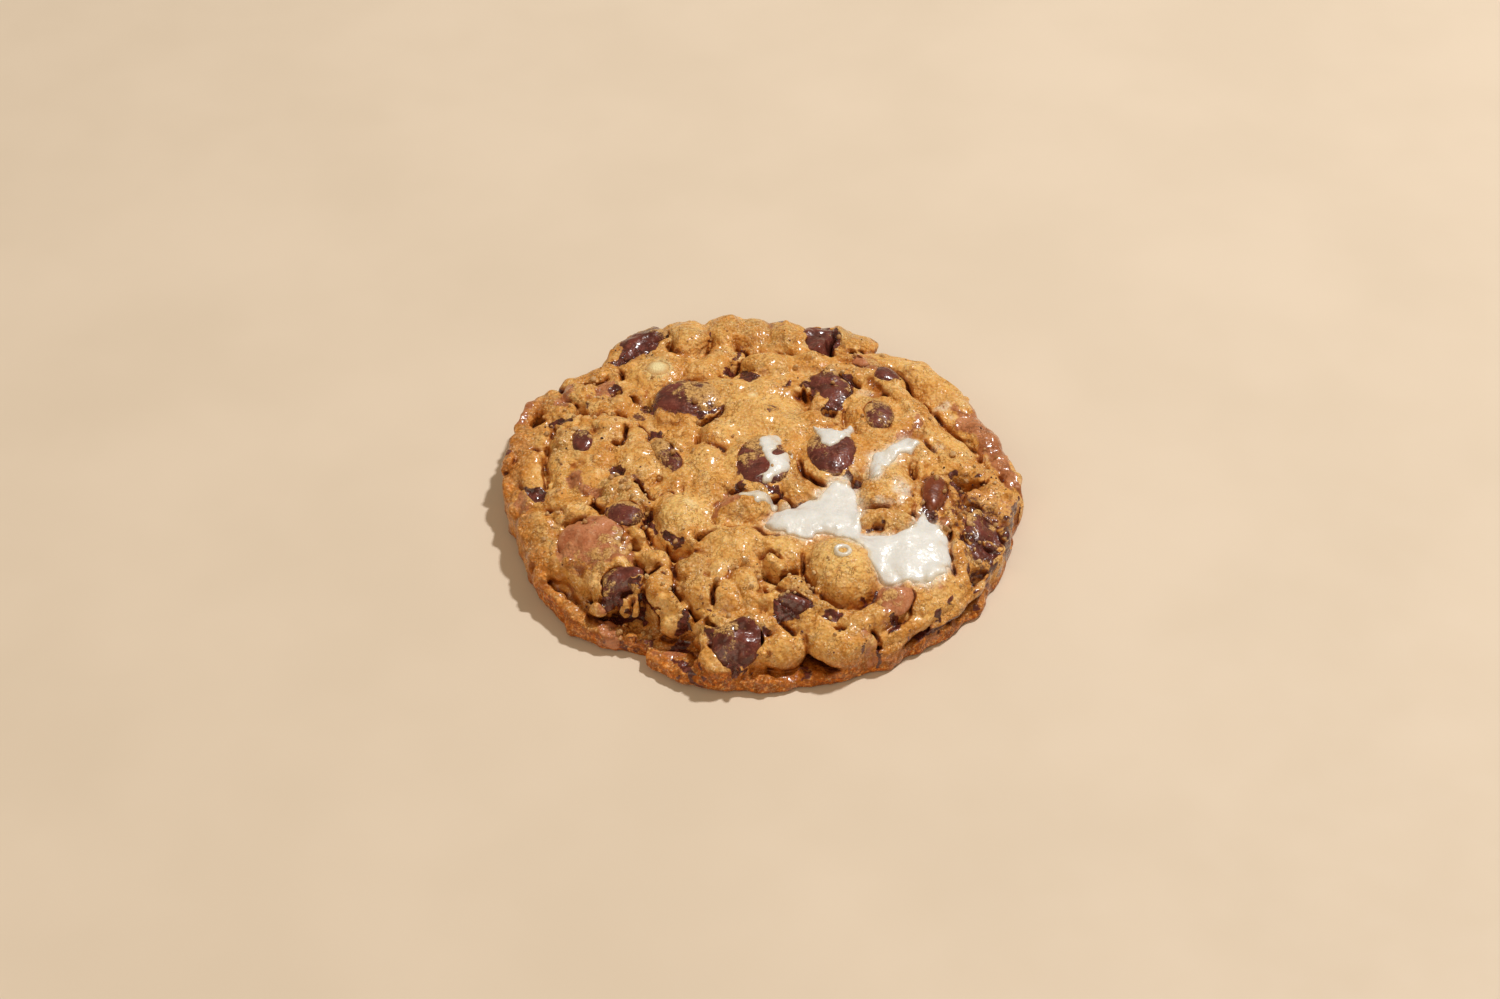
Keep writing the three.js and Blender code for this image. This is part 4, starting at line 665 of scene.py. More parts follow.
MILK_PATCHES = [
    (0.40, [(41.0, -8.5), (47.0, -5.0), (54.0, -6.0), (57.0, -12.0), (54.0, -22.0),
            (47.0, -20.0), (41.4, -16.0)]),
    (0.30, [(46.0, 4.0), (53.0, 2.0), (57.0, -3.0), (52.0, -6.0), (46.0, -2.0)]),
    (0.8, [(39.9, -18.1), (41.7, -17.7), (43.0, -19.3), (41.9, -21.9), (40.5, -22.1)]),
    (0.6, [(44.9, -18.3), (47.4, -15.2), (50.3, -13.6), (52.1, -16.0), (50.5, -18.6),
           (47.6, -19.4), (45.5, -20.2)]),
    (0.8, [(-37.0, -43.4), (-35.3, -43.8), (-33.3, -43.8), (-31.5, -44.6), (-30.9, -46.0),
           (-32.7, -47.0), (-34.8, -46.6), (-36.4, -45.7)]),
    (0.7, [(-56.2, -5.1), (-54.7, -6.2), (-55.0, -9.2), (-53.9, -11.0), (-54.2, -13.3), (-55.7,
         -13.0), (-56.7, -9.5), (-56.4, -6.6)]),
    (0.85, [(-45.6, -4.3), (-44.6, -2.6), (-43.0, -2.5), (-41.6, -5.3), (-41.1, -7.4), (-39.6,
         -9.0), (-37.8, -9.4), (-38.0, -10.3), (-39.6, -10.4), (-41.2, -9.5), (-43.1, -8.3),
         (-45.1, -7.0)]),
    (0.9, [(-45.3, -23.3), (-44.6, -17.7), (-42.7, -17.3), (-40.3, -17.9), (-37.5, -18.9),
         (-35.1, -19.0), (-33.8, -22.1), (-34.8, -24.5), (-33.4, -27.0), (-29.8, -28.0),
         (-28.4, -30.0), (-30.2, -31.4), (-33.6, -32.6), (-36.3, -32.3), (-39.0, -31.6),
         (-42.1, -28.3), (-43.7, -29.3), (-45.2, -27.0)]),
    (0.8, [(-39.8, 28.5), (-38.2, 34.4), (-36.4, 33.5), (-35.8, 30.7), (-36.7, 28.5), (-35.4,
         22.9), (-37.9, 27.5), (-39.5, 27.2)]),
    (0.8, [(-58.6, 19.4), (-59.0, 34.6), (-56.5, 27.3), (-56.4, 40.7), (-54.9, 40.3), (-54.1,
         27.1), (-54.9, 24.5), (-55.7, 21.5), (-56.9, 19.4)]),
    (0.8, [(-47.6, 32.8), (-45.2, 29.9), (-44.8, 27.7), (-46.5, 26.5), (-46.9, 22.5), (-49.0,
         23.7), (-49.8, 25.7), (-48.9, 30.5)]),
    (0.45, [(-47.4, 48.4), (-44.3, 49.9), (-40.2, 36.7), (-39.4, 35.0), (-41.8, 34.2), (-44.7,
         34.3)]),
    (0.6, [(-1.3, 71.5), (0.5, 71.1), (3.1, 52.2), (5.6, 51.7), (4.3, 48.2), (2.3, 48.5), (0.6,
         52.2), (1.4, 52.7)]),
    (0.55, [(12.8, 29.9), (13.8, 32.9), (15.7, 33.0), (17.7, 33.7), (16.6, 30.6), (14.7,
         29.4)]),
    (0.85, [(20.7, 38.0), (22.4, 37.9), (24.1, 37.4), (26.0, 36.6), (27.5, 33.1), (26.7, 31.6),
         (24.9, 32.8), (23.1, 36.0), (21.1, 34.6)]),
    (0.95, [(36.3, 16.6), (37.2, 15.0), (37.4, 13.1), (36.4, 11.8), (34.6, 10.1), (33.2, 8.4),
         (31.4, 6.4), (29.2, 4.0), (31.2, 7.0), (32.7, 9.2), (34.2, 10.6), (35.5, 12.8),
         (35.6, 15.0)]),
    (0.95, [(44.1, 21.9), (46.2, 21.6), (47.6, 20.6), (49.5, 20.3), (52.9, 32.0), (55.0, 30.1),
         (56.6, 27.9), (57.3, 25.3), (58.1, 22.4), (58.9, 19.8), (57.5, 4.8), (57.8, 1.1),
         (58.6, -0.8), (59.7, -2.5), (60.2, -3.1), (59.0, -4.1), (57.3, -4.4), (56.3, -2.1),
         (55.5, 0.3), (54.1, 1.0), (52.9, 3.4), (52.1, 5.4), (51.5, 6.9), (50.2, 8.9),
         (48.8, 11.8), (47.3, 13.5), (46.2, 15.5), (45.5, 17.2), (46.1, 19.0), (44.5,
         20.9)]),
    (0.95, [(-5.8, -14.0), (-5.1, -15.5), (-6.4, -16.6), (-8.0, -17.8), (-9.4, -18.2), (-10.3,
         -19.1), (-10.3, -20.6), (-11.2, -19.1), (-11.4, -16.8), (-10.8, -15.1), (-9.4,
         -14.0), (-7.6, -10.2)]),
    (0.6, [(3.5, -12.9), (4.7, -13.4), (5.8, -14.1), (5.3, -16.8), (4.2, -16.4), (3.3, -13.2)]),
    (0.6, [(-19.8, -28.2), (-18.7, -28.2), (-17.3, -29.1), (-17.8, -28.8), (-19.6, -28.7)]),
    (0.9, [(-36.5, -41.7), (-35.1, -42.2), (-33.5, -42.3), (-31.6, -43.2), (-30.5, -44.3),
         (-31.5, -43.6), (-31.8, -43.6), (-33.1, -44.1), (-34.7, -43.8), (-35.8, -43.0)]),
    (0.9, [(-24.5, -50.5), (-22.8, -49.8), (-20.2, -49.9), (-16.6, -50.9), (-16.6, -51.9),
         (-19.3, -51.9), (-21.9, -51.8), (-24.3, -51.5)]),
    (0.95, [(23.3, -42.1), (24.7, -39.6), (26.0, -38.8), (28.1, -41.0), (29.8, -41.4), (31.1,
         -41.9), (31.8, -42.9), (31.5, -44.2), (30.6, -45.0), (29.7, -44.8), (28.8, -45.6),
         (27.5, -47.0), (26.1, -47.1), (25.3, -45.5), (24.6, -42.6)]),
    (0.6, [(26.1, -47.4), (27.5, -46.8), (29.3, -45.2), (30.2, -45.1), (28.9, -46.0), (27.3,
         -48.3), (25.7, -49.4), (23.9, -51.1), (22.1, -52.7), (20.8, -51.9), (22.6, -50.2),
         (24.4, -49.2), (25.4, -48.5)]),
    (0.8, [(38.0, -37.9), (39.1, -37.2), (40.2, -37.6), (41.1, -38.0), (40.2, -39.1), (39.0,
         -39.2), (38.2, -38.7)]),
    (0.55, [(48.1, -19.0), (50.1, -16.5), (51.7, -13.7), (53.1, -14.0), (54.7, -14.8), (55.4,
         -15.5), (53.7, -18.7), (52.0, -17.3), (50.0, -19.2)]),
    (0.5, [(56.8, -7.9), (58.7, -5.4), (58.7, -8.2), (57.5, -11.3), (55.8, -14.3), (54.4,
         -14.0), (55.8, -11.5)]),
]
KHAKI_PATCHES = [
    (1, [(-37.4, -6.6), (-35.9, -4.7), (-33.3, -6.6), (-30.6, -5.6), (-28.3, -6.9), (-25.9,
         -9.1), (-24.5, -11.9), (-25.7, -14.7), (-28.0, -15.6), (-30.1, -16.7), (-33.6,
         -16.2), (-36.3, -13.1), (-37.3, -10.1)]),
    (0.8, [(-50.1, 10.9), (-47.7, 11.4), (-44.7, 10.7), (-44.5, 6.2), (-43.0, 2.8), (-44.8,
         1.5), (-48.1, 1.5), (-50.5, 7.8)]),
    (0.7, [(-42.2, 11.7), (-39.5, 12.7), (-36.8, 10.3), (-38.0, 6.8), (-39.5, 8.8), (-40.6,
         11.2)]),
    (0.7, [(-53.0, -18.3), (-49.5, -17.2), (-46.1, -18.0), (-44.4, -23.3), (-45.7, -25.7),
         (-49.1, -26.6), (-52.8, -22.6)]),
    (0.9, [(-44.5, -27.0), (-41.4, -28.5), (-38.1, -32.0), (-34.9, -33.3), (-34.5, -34.3),
         (-38.6, -33.9), (-42.0, -31.6), (-44.2, -29.4)]),
    (0.8, [(-20.7, -28.5), (-16.4, -28.9), (-12.4, -30.4), (-11.2, -35.3), (-12.7, -40.1),
         (-16.2, -40.6), (-19.4, -36.5), (-20.8, -34.1)]),
    (0.8, [(3.1, -37.6), (6.2, -39.0), (9.3, -37.5), (10.6, -40.7), (11.3, -44.5), (14.5,
         -43.3), (16.2, -45.8), (13.5, -47.3), (10.4, -46.2), (7.8, -44.8), (5.7, -42.5),
         (3.5, -44.0), (2.6, -41.4)]),
    (0.8, [(-7.4, -49.1), (-4.1, -48.2), (-0.5, -49.4), (1.7, -50.0), (-1.8, -51.9), (-4.8,
         -53.0), (-7.4, -51.7)]),
    (0.7, [(-5.5, 52.3), (-0.6, 54.2), (5.5, 48.0), (8.0, 49.6), (6.7, 44.2), (1.8, 45.8),
         (-3.1, 46.0), (-5.0, 48.6)]),
    (0.8, [(18.7, 51.3), (22.9, 66.6), (26.4, 64.2), (28.9, 62.2), (25.4, 45.2), (21.4, 44.7),
         (19.0, 47.0)]),
    (0.7, [(21.6, 34.3), (24.1, 36.2), (26.2, 31.5), (26.2, 29.6), (23.8, 28.9), (21.4, 30.0)]),
    (0.8, [(25.6, 25.5), (28.8, 22.6), (30.6, 20.3), (28.6, 18.8), (26.2, 18.3), (24.3, 16.5),
         (23.9, 19.5)]),
    (0.7, [(23.0, -15.0), (27.5, -15.7), (32.0, -16.1), (33.0, -19.5), (29.5, -22.6), (27.2,
         -22.6), (23.8, -21.8)]),
    (0.6, [(3.8, -6.2), (8.5, -2.1), (11.8, -5.9), (12.4, -10.5), (8.3, -13.0), (4.7, -11.2)]),
    (0.6, [(-9.9, -14.5), (-6.4, -16.6), (-3.1, -17.6), (1.0, -17.7), (1.0, -18.8), (-4.2,
         -20.4), (-9.4, -20.4)]),
    (0.6, [(16.8, -46.2), (20.6, -43.8), (23.6, -45.2), (26.2, -45.1), (27.0, -47.1), (23.5,
         -48.6), (20.4, -50.6), (17.2, -49.5)]),
    (0.5, [(-35.5, 44.9), (-33.0, 45.5), (-32.0, 44.6), (-33.9, 42.3), (-36.2, 40.0), (-37.7,
         40.9)]),
    (0.5, [(-28.1, 45.4), (-25.1, 45.0), (-23.5, 41.9), (-25.9, 39.4), (-28.0, 43.5)]),
]

# chocolate: name, x, y, half sizes a, b, c, turn, rise of its top above the
# crown, kind, [dusting: share covered, direction it comes from in degrees]
CHIPS = [
    ("chip_dark_rear", -18, 21.8, 7.9, 6.8, 2.8, 0, 1.1, "dark", 0.44, 40),
    ("chip_dark_middle", -0.4, -2.4, 6.8, 9.0, 3.4, 0, 1.3, "dark", 0.34, 120),
    ("chip_dark_middle_right", 16.0, 1.4, 6.2, 7.8, 3.2, 0, 1.2, "dark", 0.24, 160),
    ("chip_dark_left", -42.4, 7.4, 2.6, 4.4, 2.6, 8, 1.5, "dark", 0.05, 90),
    ("chip_dark_front_left", -31.4, -18.4, 4.0, 4.2, 2.6, 10, 0.8, "dark", 0.55, 95),
    ("chip_milk_front_left", -38.2, -26.0, 9.0, 7.6, 3.2, -20, 1.2, "milkmelt", 0.26, 300),
    ("chip_dark_low_left", -31.2, -38.2, 4.4, 2.8, 2.0, 20, 0.6, "melt", 0.10, 160),
    ("chip_dark_front", -7.2, -53.4, 5.6, 4.4, 2.6, -8, -0.2, "melt", 0.30, 110),
    ("chip_dark_front_mid", 6.2, -45.2, 4.2, 2.9, 2.2, -16, 0.4, "melt", 0.40, 80),
    ("chip_milk_front_right", 28.0, -41.6, 4.6, 2.8, 1.9, 34, 0.9, "milkmelt", 0.20, 200),
    ("chip_dark_right", 39.2, -10.0, 3.2, 6.4, 3.4, -8, 1.1, "milk_dark", 0.05, 0),
    ("chip_dark_rear_right", 29.6, 31.6, 3.7, 2.9, 2.4, -26, 1.1, "dark", 0.05, 180),
    ("chip_milk_rear_right", 24.6, 39.2, 4.6, 2.4, 2.0, -24, 0.5, "milkmelt", 0.50, 20),
    ("chunk_dark_rear_mid", 16.6, 27.0, 6.4, 7.2, 3.2, 0, 0.3, "melt", 0.12, 60),
    ("chip_dark_dusted", 27.2, 15.9, 3.6, 5.4, 2.6, -5, 1.1, "dark", 0.60, 150),
    ("chunk_dark_back", 14.9, 49, 4.2, 6.8, 4.0, -8, 0.9, "shards", 0.06, 0),
    ("chunk_dark_back_left", -29.6, 48.0, 4.4, 9.0, 3.4, -44, 1.5, "melt", 0.16, 90),
    ("chip_dark_mid_left", -22.0, 0.4, 2.8, 6.0, 2.6, 28, 0.9, "dark", 0.60, 150),
    ("chunk_dark_right_rim", 49.8, -20.4, 5.6, 8.2, 2.8, -16, 0.1, "melt", 0.10, 120),
    ("chip_white_rear", -25.2, 34.2, 3.6, 3.8, 2.4, 0, 0.72, "white", 0.0, 200),
]


def polygon_distance(x, y, poly):
    """Signed distance to a closed outline, negative inside."""
    p = np.array(poly, float)
    q = np.roll(p, -1, 0)
    best = np.full(np.broadcast(x, y).shape, 1e6)
    inside = np.zeros(best.shape, bool)
    for (ax, ay), (bx, by) in zip(p, q):
        ex, ey = bx - ax, by - ay
        t = np.clip(((x - ax) * ex + (y - ay) * ey) / (ex * ex + ey * ey), 0, 1)
        best = np.minimum(best, np.hypot(x - ax - t * ex, y - ay - t * ey))
        cross = ((ay > y) != (by > y)) & (x < (bx - ax) * (y - ay) / (by - ay + 1e-12) + ax)
        inside ^= cross
    return np.where(inside, -best, best)


def patches(x, y, rows, wobble=0.0, soft=0.3):
    """How far each point is inside any of the outlines, 0..strength."""
    out = np.zeros(x.shape, np.float32)
    for k, line in rows:
        (ax, ay), (bx, by) = np.min(line, 0) - 1.5, np.max(line, 0) + 1.5
        near = (x > ax) & (x < bx) & (y > ay) & (y < by)
        d = polygon_distance(x[near], y[near], line)
        d = d + (wobble[near] if np.ndim(wobble) else wobble)
        out[near] = np.maximum(out[near], k * smoothstep(soft, -soft, d))
    return out


def crown(x, y):
    r = np.hypot(x, y)
    side = y / np.maximum(r, 1e-6)
    t = np.clip((side + 0.6) / 0.7, 0, 1)
    t = t * t * (3 - 2 * t)
    edge = EDGE_FRONT + (EDGE_BACK - EDGE_FRONT) * t
    p = np.minimum(r / DOME_R, 1.0)
    full = edge + (CROWN - edge) * np.sqrt(np.maximum(1 - p ** 4, 0))
    slope = edge + (CROWN - edge) * (1 - p ** 2.5)
    return full * (1 - t) + slope * t


def crown_slope(x, y, most=0.5):
    e = 0.5
    gx = float(crown(x + e, y) - crown(x - e, y)) / (2 * e)
    gy = float(crown(x, y + e) - crown(x, y - e)) / (2 * e)
    s = math.hypot(gx, gy)
    k = min(1.0, most / s) if s > 0 else 1.0
    return gx * k, gy * k


def by_angle(table, x, y):
    """Value of a table (degrees, value) at the direction of each point."""
    a = np.degrees(np.arctan2(y, x)) % 360.0
    return np.interp(a, [t[0] for t in table], [t[1] for t in table])


G = Grid((-64.6, -64.6, -1.8), (64.6, 64.6, 22.0), VOX)
x2, y2 = G.ax[0][:, None], G.ax[1][None, :]
X2 = np.broadcast_to(x2, G.shape[:2]).astype(np.float32)
Y2 = np.broadcast_to(y2, G.shape[:2]).astype(np.float32)
CR2 = crown(X2, Y2).astype(np.float32)
WX = (0.75 * noise(G.ax[:2], 8.0, 11) + 0.40 * noise(G.ax[:2], 3.6, 12)).astype(np.float32)
WY = (0.75 * noise(G.ax[:2], 8.0, 13) + 0.40 * noise(G.ax[:2], 3.6, 14)).astype(np.float32)


def ellipsoid(x, y, z, a, b, c, turn, gx, gy, power=2.0):
    """Distance-like field of a tilted rounded mass centred on the origin."""
    t = math.radians(turn)
    u = math.cos(t) * x + math.sin(t) * y
    v = -math.sin(t) * x + math.cos(t) * y
    w = z - (gx * x + gy * y)
    if power == 2.0:
        k0 = np.sqrt((u / a) ** 2 + (v / b) ** 2 + (w / c) ** 2) + 1e-6
        k1 = np.sqrt((u / a ** 2) ** 2 + (v / b ** 2) ** 2 + (w / c ** 2) ** 2) + 1e-6
        return k0 * (k0 - 1) / k1
    e = np.sqrt((u / a) ** 2 + (v / b) ** 2)
    k = (e ** power + np.abs(w / c) ** power) ** (1 / power) + 1e-6
    k1 = np.sqrt((u / a ** 2) ** 2 + (v / b ** 2) ** 2 + (w / c ** 2) ** 2) + 1e-6
    k0 = np.sqrt(e * e + (w / c) ** 2) + 1e-6
    return (k - 1) * k0 / k1


RIM2 = (np.hypot(X2 + 0.3 * WX, Y2 + 0.3 * WY) - by_angle(OUT, X2, Y2) + 0.35
        + 0.22 * noise(G.ax[:2], 1.9, 25) + 0.25 * noise(G.ax[:2], 4.0, 26))


def build_dough():
    th_r = np.hypot(X2 + 0.5 * WX, Y2 + 0.5 * WY)
    rs = by_angle(SKIRT_R, X2, Y2) + 0.35 * noise(G.ax[:2], 3.0, 21) \
        + 0.30 * noise(G.ax[:2], 1.5, 22)
    zs = by_angle(SKIRT_Z, X2, Y2) + 0.35 * noise(G.ax[:2], 5.0, 23)
    ru = by_angle(SKIRT_R, X2, Y2) - by_angle(UPPER_IN, X2, Y2)
    valley = VALLEY * smoothstep(2.0, 11.0, CR2) + 0.25
    rough2 = 0.45 * noise(G.ax[:2], 5.0, 24)
    top = CR2 - valley + rough2
    # plain upper body with a rounded shoulder
    f = smax(G.Z - top[:, :, None], (th_r - ru)[:, :, None] + 0 * G.Z, 3.2)
    # skirt: a lower, wider slab with a rounded edge
    sk = smax(G.Z - zs[:, :, None], (th_r - rs)[:, :, None]
              + 0.9 * np.clip(0.9 - G.Z, 0, 1.6) ** 2 * 0.35, 2.2)

    def add(f, cx, cy, cz, a, b, c, turn, join, flat=0.5, wide=1.0):
        gx, gy = crown_slope(cx, cy, flat)
        m = join + 1.6
        ext = max(a, b)
        s = G.window((cx, cy, cz), (ext + m + 2, ext + m + 2, c + m + flat * ext + 1))
        X = G.X[s[0]] - cx + WX[s[0], s[1]][:, :, None]
        Y = G.Y[:, s[1]] - cy + WY[s[0], s[1]][:, :, None]
        e = ellipsoid(X, Y, G.Z[:, :, s[2]] - cz, a * wide, b * wide, c, turn,
                      gx, gy, 2.0)
        f[s] = smin(f[s], e, join)

    for row in LUMPS:
        x, y, a, b, turn, rise = row[:6]
        c = row[6] if len(row) > 6 else min(max(0.8 * min(a, b), 2.6), 6.0)
        join = row[7] if len(row) > 7 else 0.5
        h = float(crown(x, y))
        c = min(c, max(h + rise - 1.2, 1.5))
        add(f, x, y, h + rise - c, a, b, c, turn, join, wide=1.06)
    # the upper mass stops short of the ledge in front on the left
    lip = th_r - by_angle(LIP, X2, Y2) + 0.5 * noise(G.ax[:2], 3.4, 27) \
        + 0.3 * noise(G.ax[:2], 1.7, 28)
    f = smax(f, lip[:, :, None] + 0.05 * (G.Z - 6.0) ** 2, 1.8)
    f = smin(f, sk, 0.6).astype(np.float32)
    del sk
    for x, y, z, a, b, c, turn, join in BALLS:
        add(f, x, y, z, a, b, c, turn, join, 0.15)
    for rad, flat, join, line in FOLDS:
        pts = np.array(line, float)
        lo, hi = pts.min(0) - rad - 2.5, pts.max(0) + rad + 2.5
        c, r = (lo + hi) / 2, (hi - lo) / 2
        s = G.window(c, r)
        X = G.X[s[0]] + 0.5 * WX[s[0], s[1]][:, :, None]
        Y = G.Y[:, s[1]] + 0.5 * WY[s[0], s[1]][:, :, None]
        Z = G.Z[:, :, s[2]]
        best = None
        for p, q in zip(pts[:-1], pts[1:]):
            d = q - p
            t = np.clip(((X - p[0]) * d[0] + (Y - p[1]) * d[1] + (Z - p[2]) * d[2])
                        / float(d @ d), 0, 1)
            e = np.sqrt((X - p[0] - t * d[0]) ** 2 + (Y - p[1] - t * d[1]) ** 2
                        + ((Z - p[2] - t * d[2]) * flat) ** 2) - rad
            best = e if best is None else smin(best, e, 0.5)
        f[s] = smin(f[s], best, join)
    f = smax(f, RIM2[:, :, None] + 0 * G.Z, 0.9)
    # creases
    depth = np.zeros(G.shape[:2], np.float32)
    wx, wy = X2 + 0.35 * WX, Y2 + 0.35 * WY
    fine = noise(G.ax[:2], 1.3, 31)
    for amount, width, line in CREASES:
        d, t = segment_distance(wx, wy, line)
        taper = smoothstep(0, 0.18, t) * smoothstep(1, 0.82, t) if len(line) > 2 \
            else np.ones_like(t)
        w = 0.78 * width * (1 + 0.28 * fine)
        w = np.maximum(w * (0.7 + 0.5 * taper), 0.2)
        g = min(amount, 0.85 * amount + 0.3) * (0.15 + 0.85 * taper) * (0.62 * np.exp(-(d / w) ** 1.6)
                                              + 0.38 * np.exp(-(d / (2.8 * w)) ** 1.6))
        depth = np.maximum(depth, g)
    depth *= 0.25 + 0.75 * smoothstep(59.0, 55.0, np.hypot(X2, Y2))
    fade = smoothstep(1.5, 5.5, G.Z)
    f += depth[:, :, None] * fade
    return f, depth


f_dough, CREASE = build_dough()

# fine surface: swells, crumbly grain and small cracks
CALM = [(-2, 16, 14, 1.0), (4, 9, 8, 0.8), (17, -36, 8.5, 0.7), (36, 37, 9, 0.9),
        (43, 30, 8, 0.8), (-26, 34, 8, 0.7), (31, 3, 7, 0.7), (44, 8, 7, 0.6),
        (-7, -28, 9, 0.6), (2, 36, 7, 0.6), (-17, -19, 7, 0.4), (28, -8, 7, 0.3)]
CRUMBLY = [(46, -21, 8, 1.0), (-40, -36, 9, 0.8), (-42, 22, 10, 0.6), (-48, -4, 8, 0.4),
           (-30, -14, 7, 0.6), (10, -41, 6, 0.5), (-24, -42, 8, 0.6), (50, -6, 6, 0.6),
           (-46, -26, 7, 0.4), (22, 34, 6, 0.4)]


def heights(f, grid, none=0.0):
    """Height of the highest surface under each column."""
    s = f < 0
    n = f.shape[2]
    top = n - 1 - np.argmax(s[:, :, ::-1], axis=2)
    has = s.any(axis=2)
    i, j = np.indices(top.shape)
    k = np.clip(top, 0, n - 2)
    a, b = f[i, j, k], f[i, j, k + 1]
    t = np.clip(a / np.where(np.abs(a - b) < 1e-6, 1e-6, a - b), 0, 1)
    return np.where(has, grid.lo[2] + (k + t) * grid.h, none).astype(np.float32)


def spread(rows):
    out = np.zeros(G.shape[:2], np.float32)
    for x, y, r, k in rows:
        out = np.maximum(out, k * smoothstep(r * 1.25, r * 0.5, np.hypot(X2 - x, Y2 - y)))
    return out


# ------------------------------------------------------------- chocolate ----
class Chip:
    def __init__(self, row, seed):
        (self.name, self.x, self.y, self.a, self.b, self.c, self.turn, rise,
         self.kind, self.share, self.angle) = row
        self.h = float(crown(self.x, self.y))
        self.c = min(self.c, self.h + rise - 1.0)
        self.z = self.h + rise - self.c
        self.gx, self.gy = crown_slope(self.x, self.y, 0.5)
        self.seed = seed
        self.rough = {"melt": 1.0, "milkmelt": 0.8, "shards": 1.6}.get(self.kind, 0.0)
        self.warp = 0.85 * min(self.rough, 1.0)
        self.power = 2.0 if self.rough else 2.8
        self.lap = {"dark": 0.88, "milk_dark": 0.92, "white": 0.66,
                    "shards": 0.84}.get(self.kind, 0.68)

    def reach(self, more):
        r = max(self.a, self.b) + more
        return r, r, self.c + 0.5 * r + 0.5

    def body(self, X, Y, Z):
        return ellipsoid(X - self.x, Y - self.y, Z - self.z, self.a, self.b,
                         self.c, self.turn, self.gx, self.gy, self.power)

    def lie(self, X, Y):
        """Distance outside the line where the dough meets the chip, and the
        height of that line."""
        t = math.radians(self.turn)
        dx, dy = X - self.x, Y - self.y
        u = (math.cos(t) * dx + math.sin(t) * dy) / self.a
        v = (-math.sin(t) * dx + math.cos(t) * dy) / self.b
        out = (np.sqrt(u * u + v * v) - self.lap) * min(self.a, self.b)
        line = self.z + self.c * (1 - self.lap ** self.power) ** (1 / self.power)
        return out, line + self.gx * dx + self.gy * dy


CHIP_LIST = [Chip(row, 300 + 10 * i) for i, row in enumerate(CHIPS)]

f_chips = np.full(G.shape, 9.0, np.float32)
OPEN = np.full(G.shape[:2], 9.0, np.float32)      # distance from the bare chips
edge2 = noise(G.ax[:2], 2.4, 71).astype(np.float32)
edge1 = noise(G.ax[:2], 1.1, 72).astype(np.float32)
for ch in CHIP_LIST:
    s = G.window((ch.x, ch.y, ch.z), ch.reach(5.0))
    X, Y, Z = G.X[s[0]], G.Y[:, s[1]], G.Z[:, :, s[2]]
    wx = WX[s[0], s[1]][:, :, None]
    wy = WY[s[0], s[1]][:, :, None]
    f_chips[s] = np.minimum(f_chips[s], ch.body(X + ch.warp * wx, Y + ch.warp * wy, Z))
    out, line = ch.lie(X2[s[0], s[1]] + ch.warp * wx[:, :, 0],
                       Y2[s[0], s[1]] + ch.warp * wy[:, :, 0])
    out = out + (0.22 + 0.65 * ch.rough) * edge2[s[0], s[1]] \
        + (0.16 + 0.22 * ch.rough) * edge1[s[0], s[1]]
    OPEN[s[0], s[1]] = np.minimum(OPEN[s[0], s[1]], out)
    far = np.maximum(out, 0)
    low = (line - 0.12 - 0.42 * far)[:, :, None]
    high = (line + 0.22 + np.where(out > 0, 0.35 * far + 0.12 * far * far,
                                   2.4 * out))[:, :, None]
    f_dough[s] = smin(f_dough[s], smax(Z - low, (out - min(2.4, 0.45 * ch.b))[:, :, None]
                                       + 0 * Z, 1.2), 0.8)
    f_dough[s] = smax(f_dough[s], (Z - high) * 0.9, 0.35)
f_dough = smax(f_dough, RIM2[:, :, None] + 0 * G.Z, 0.6).astype(np.float32)

# knobs of dough on the melted chocolate: x, y, radius, rise above the crown
KNOBS = [(47.6, -15.4, 1.9, 0.7), (51.0, -22.9, 1.7, 0.8), (51.3, -11.6, 2.2, 0.9),
         (52.4, -25.8, 1.4, 0.6), (42.2, -19.0, 2.0, 0.6), (55.2, -13.4, 1.9, 0.6),
         (46.6, -22.6, 1.5, 0.5), (48.4, -18.6, 1.1, 0.7), (54.6, -19.2, 1.2, 0.6),
         (43.2, -26.4, 2.2, 0.7), (44.0, -29.6, 2.2, 0.5), (43.4, -33.0, 2.1, 0.2),
         (26.0, 33.4, 2.2, 1.0), (19.8, 51.6, 2.2, 0.7), (-28.6, -38.9, 2.0, 0.7),
         (9.2, 24.0, 1.6, 0.4), (21.4, 24.0, 1.4, 0.4)]
for kx, ky, kr, rise in KNOBS:
    kz = float(crown(kx, ky)) + rise - kr
    s = G.window((kx, ky, kz), (kr * 1.5 + 2,) * 3)
    e = ellipsoid(G.X[s[0]] - kx + WX[s[0], s[1]][:, :, None],
                  G.Y[:, s[1]] - ky + WY[s[0], s[1]][:, :, None], G.Z[:, :, s[2]] - kz,
                  kr * 1.05, kr * 1.2, kr * 1.1, 20.0 * kx, 0.0, 0.0)
    f_dough[s] = smin(f_dough[s], e, 0.4)


# fine surface: swells, crumbly grain and small cracks
CALM2, CRUMB2 = spread(CALM), spread(CRUMBLY)
rough_by_place = (1.0 - 0.6 * CALM2 + 0.9 * CRUMB2)[:, :, None]
swell = 0.24 * noise(G.ax, 5.0, 41)
grain = 0.11 * (0.8 - np.abs(noise(G.ax, 3.2, 42))) + 0.11 * (0.8 - np.abs(
    noise(G.ax, 1.7, 43))) + 0.09 * noise(G.ax, 1.1, 44)
f_dough += (swell + rough_by_place * grain).astype(np.float32)
del swell, grain


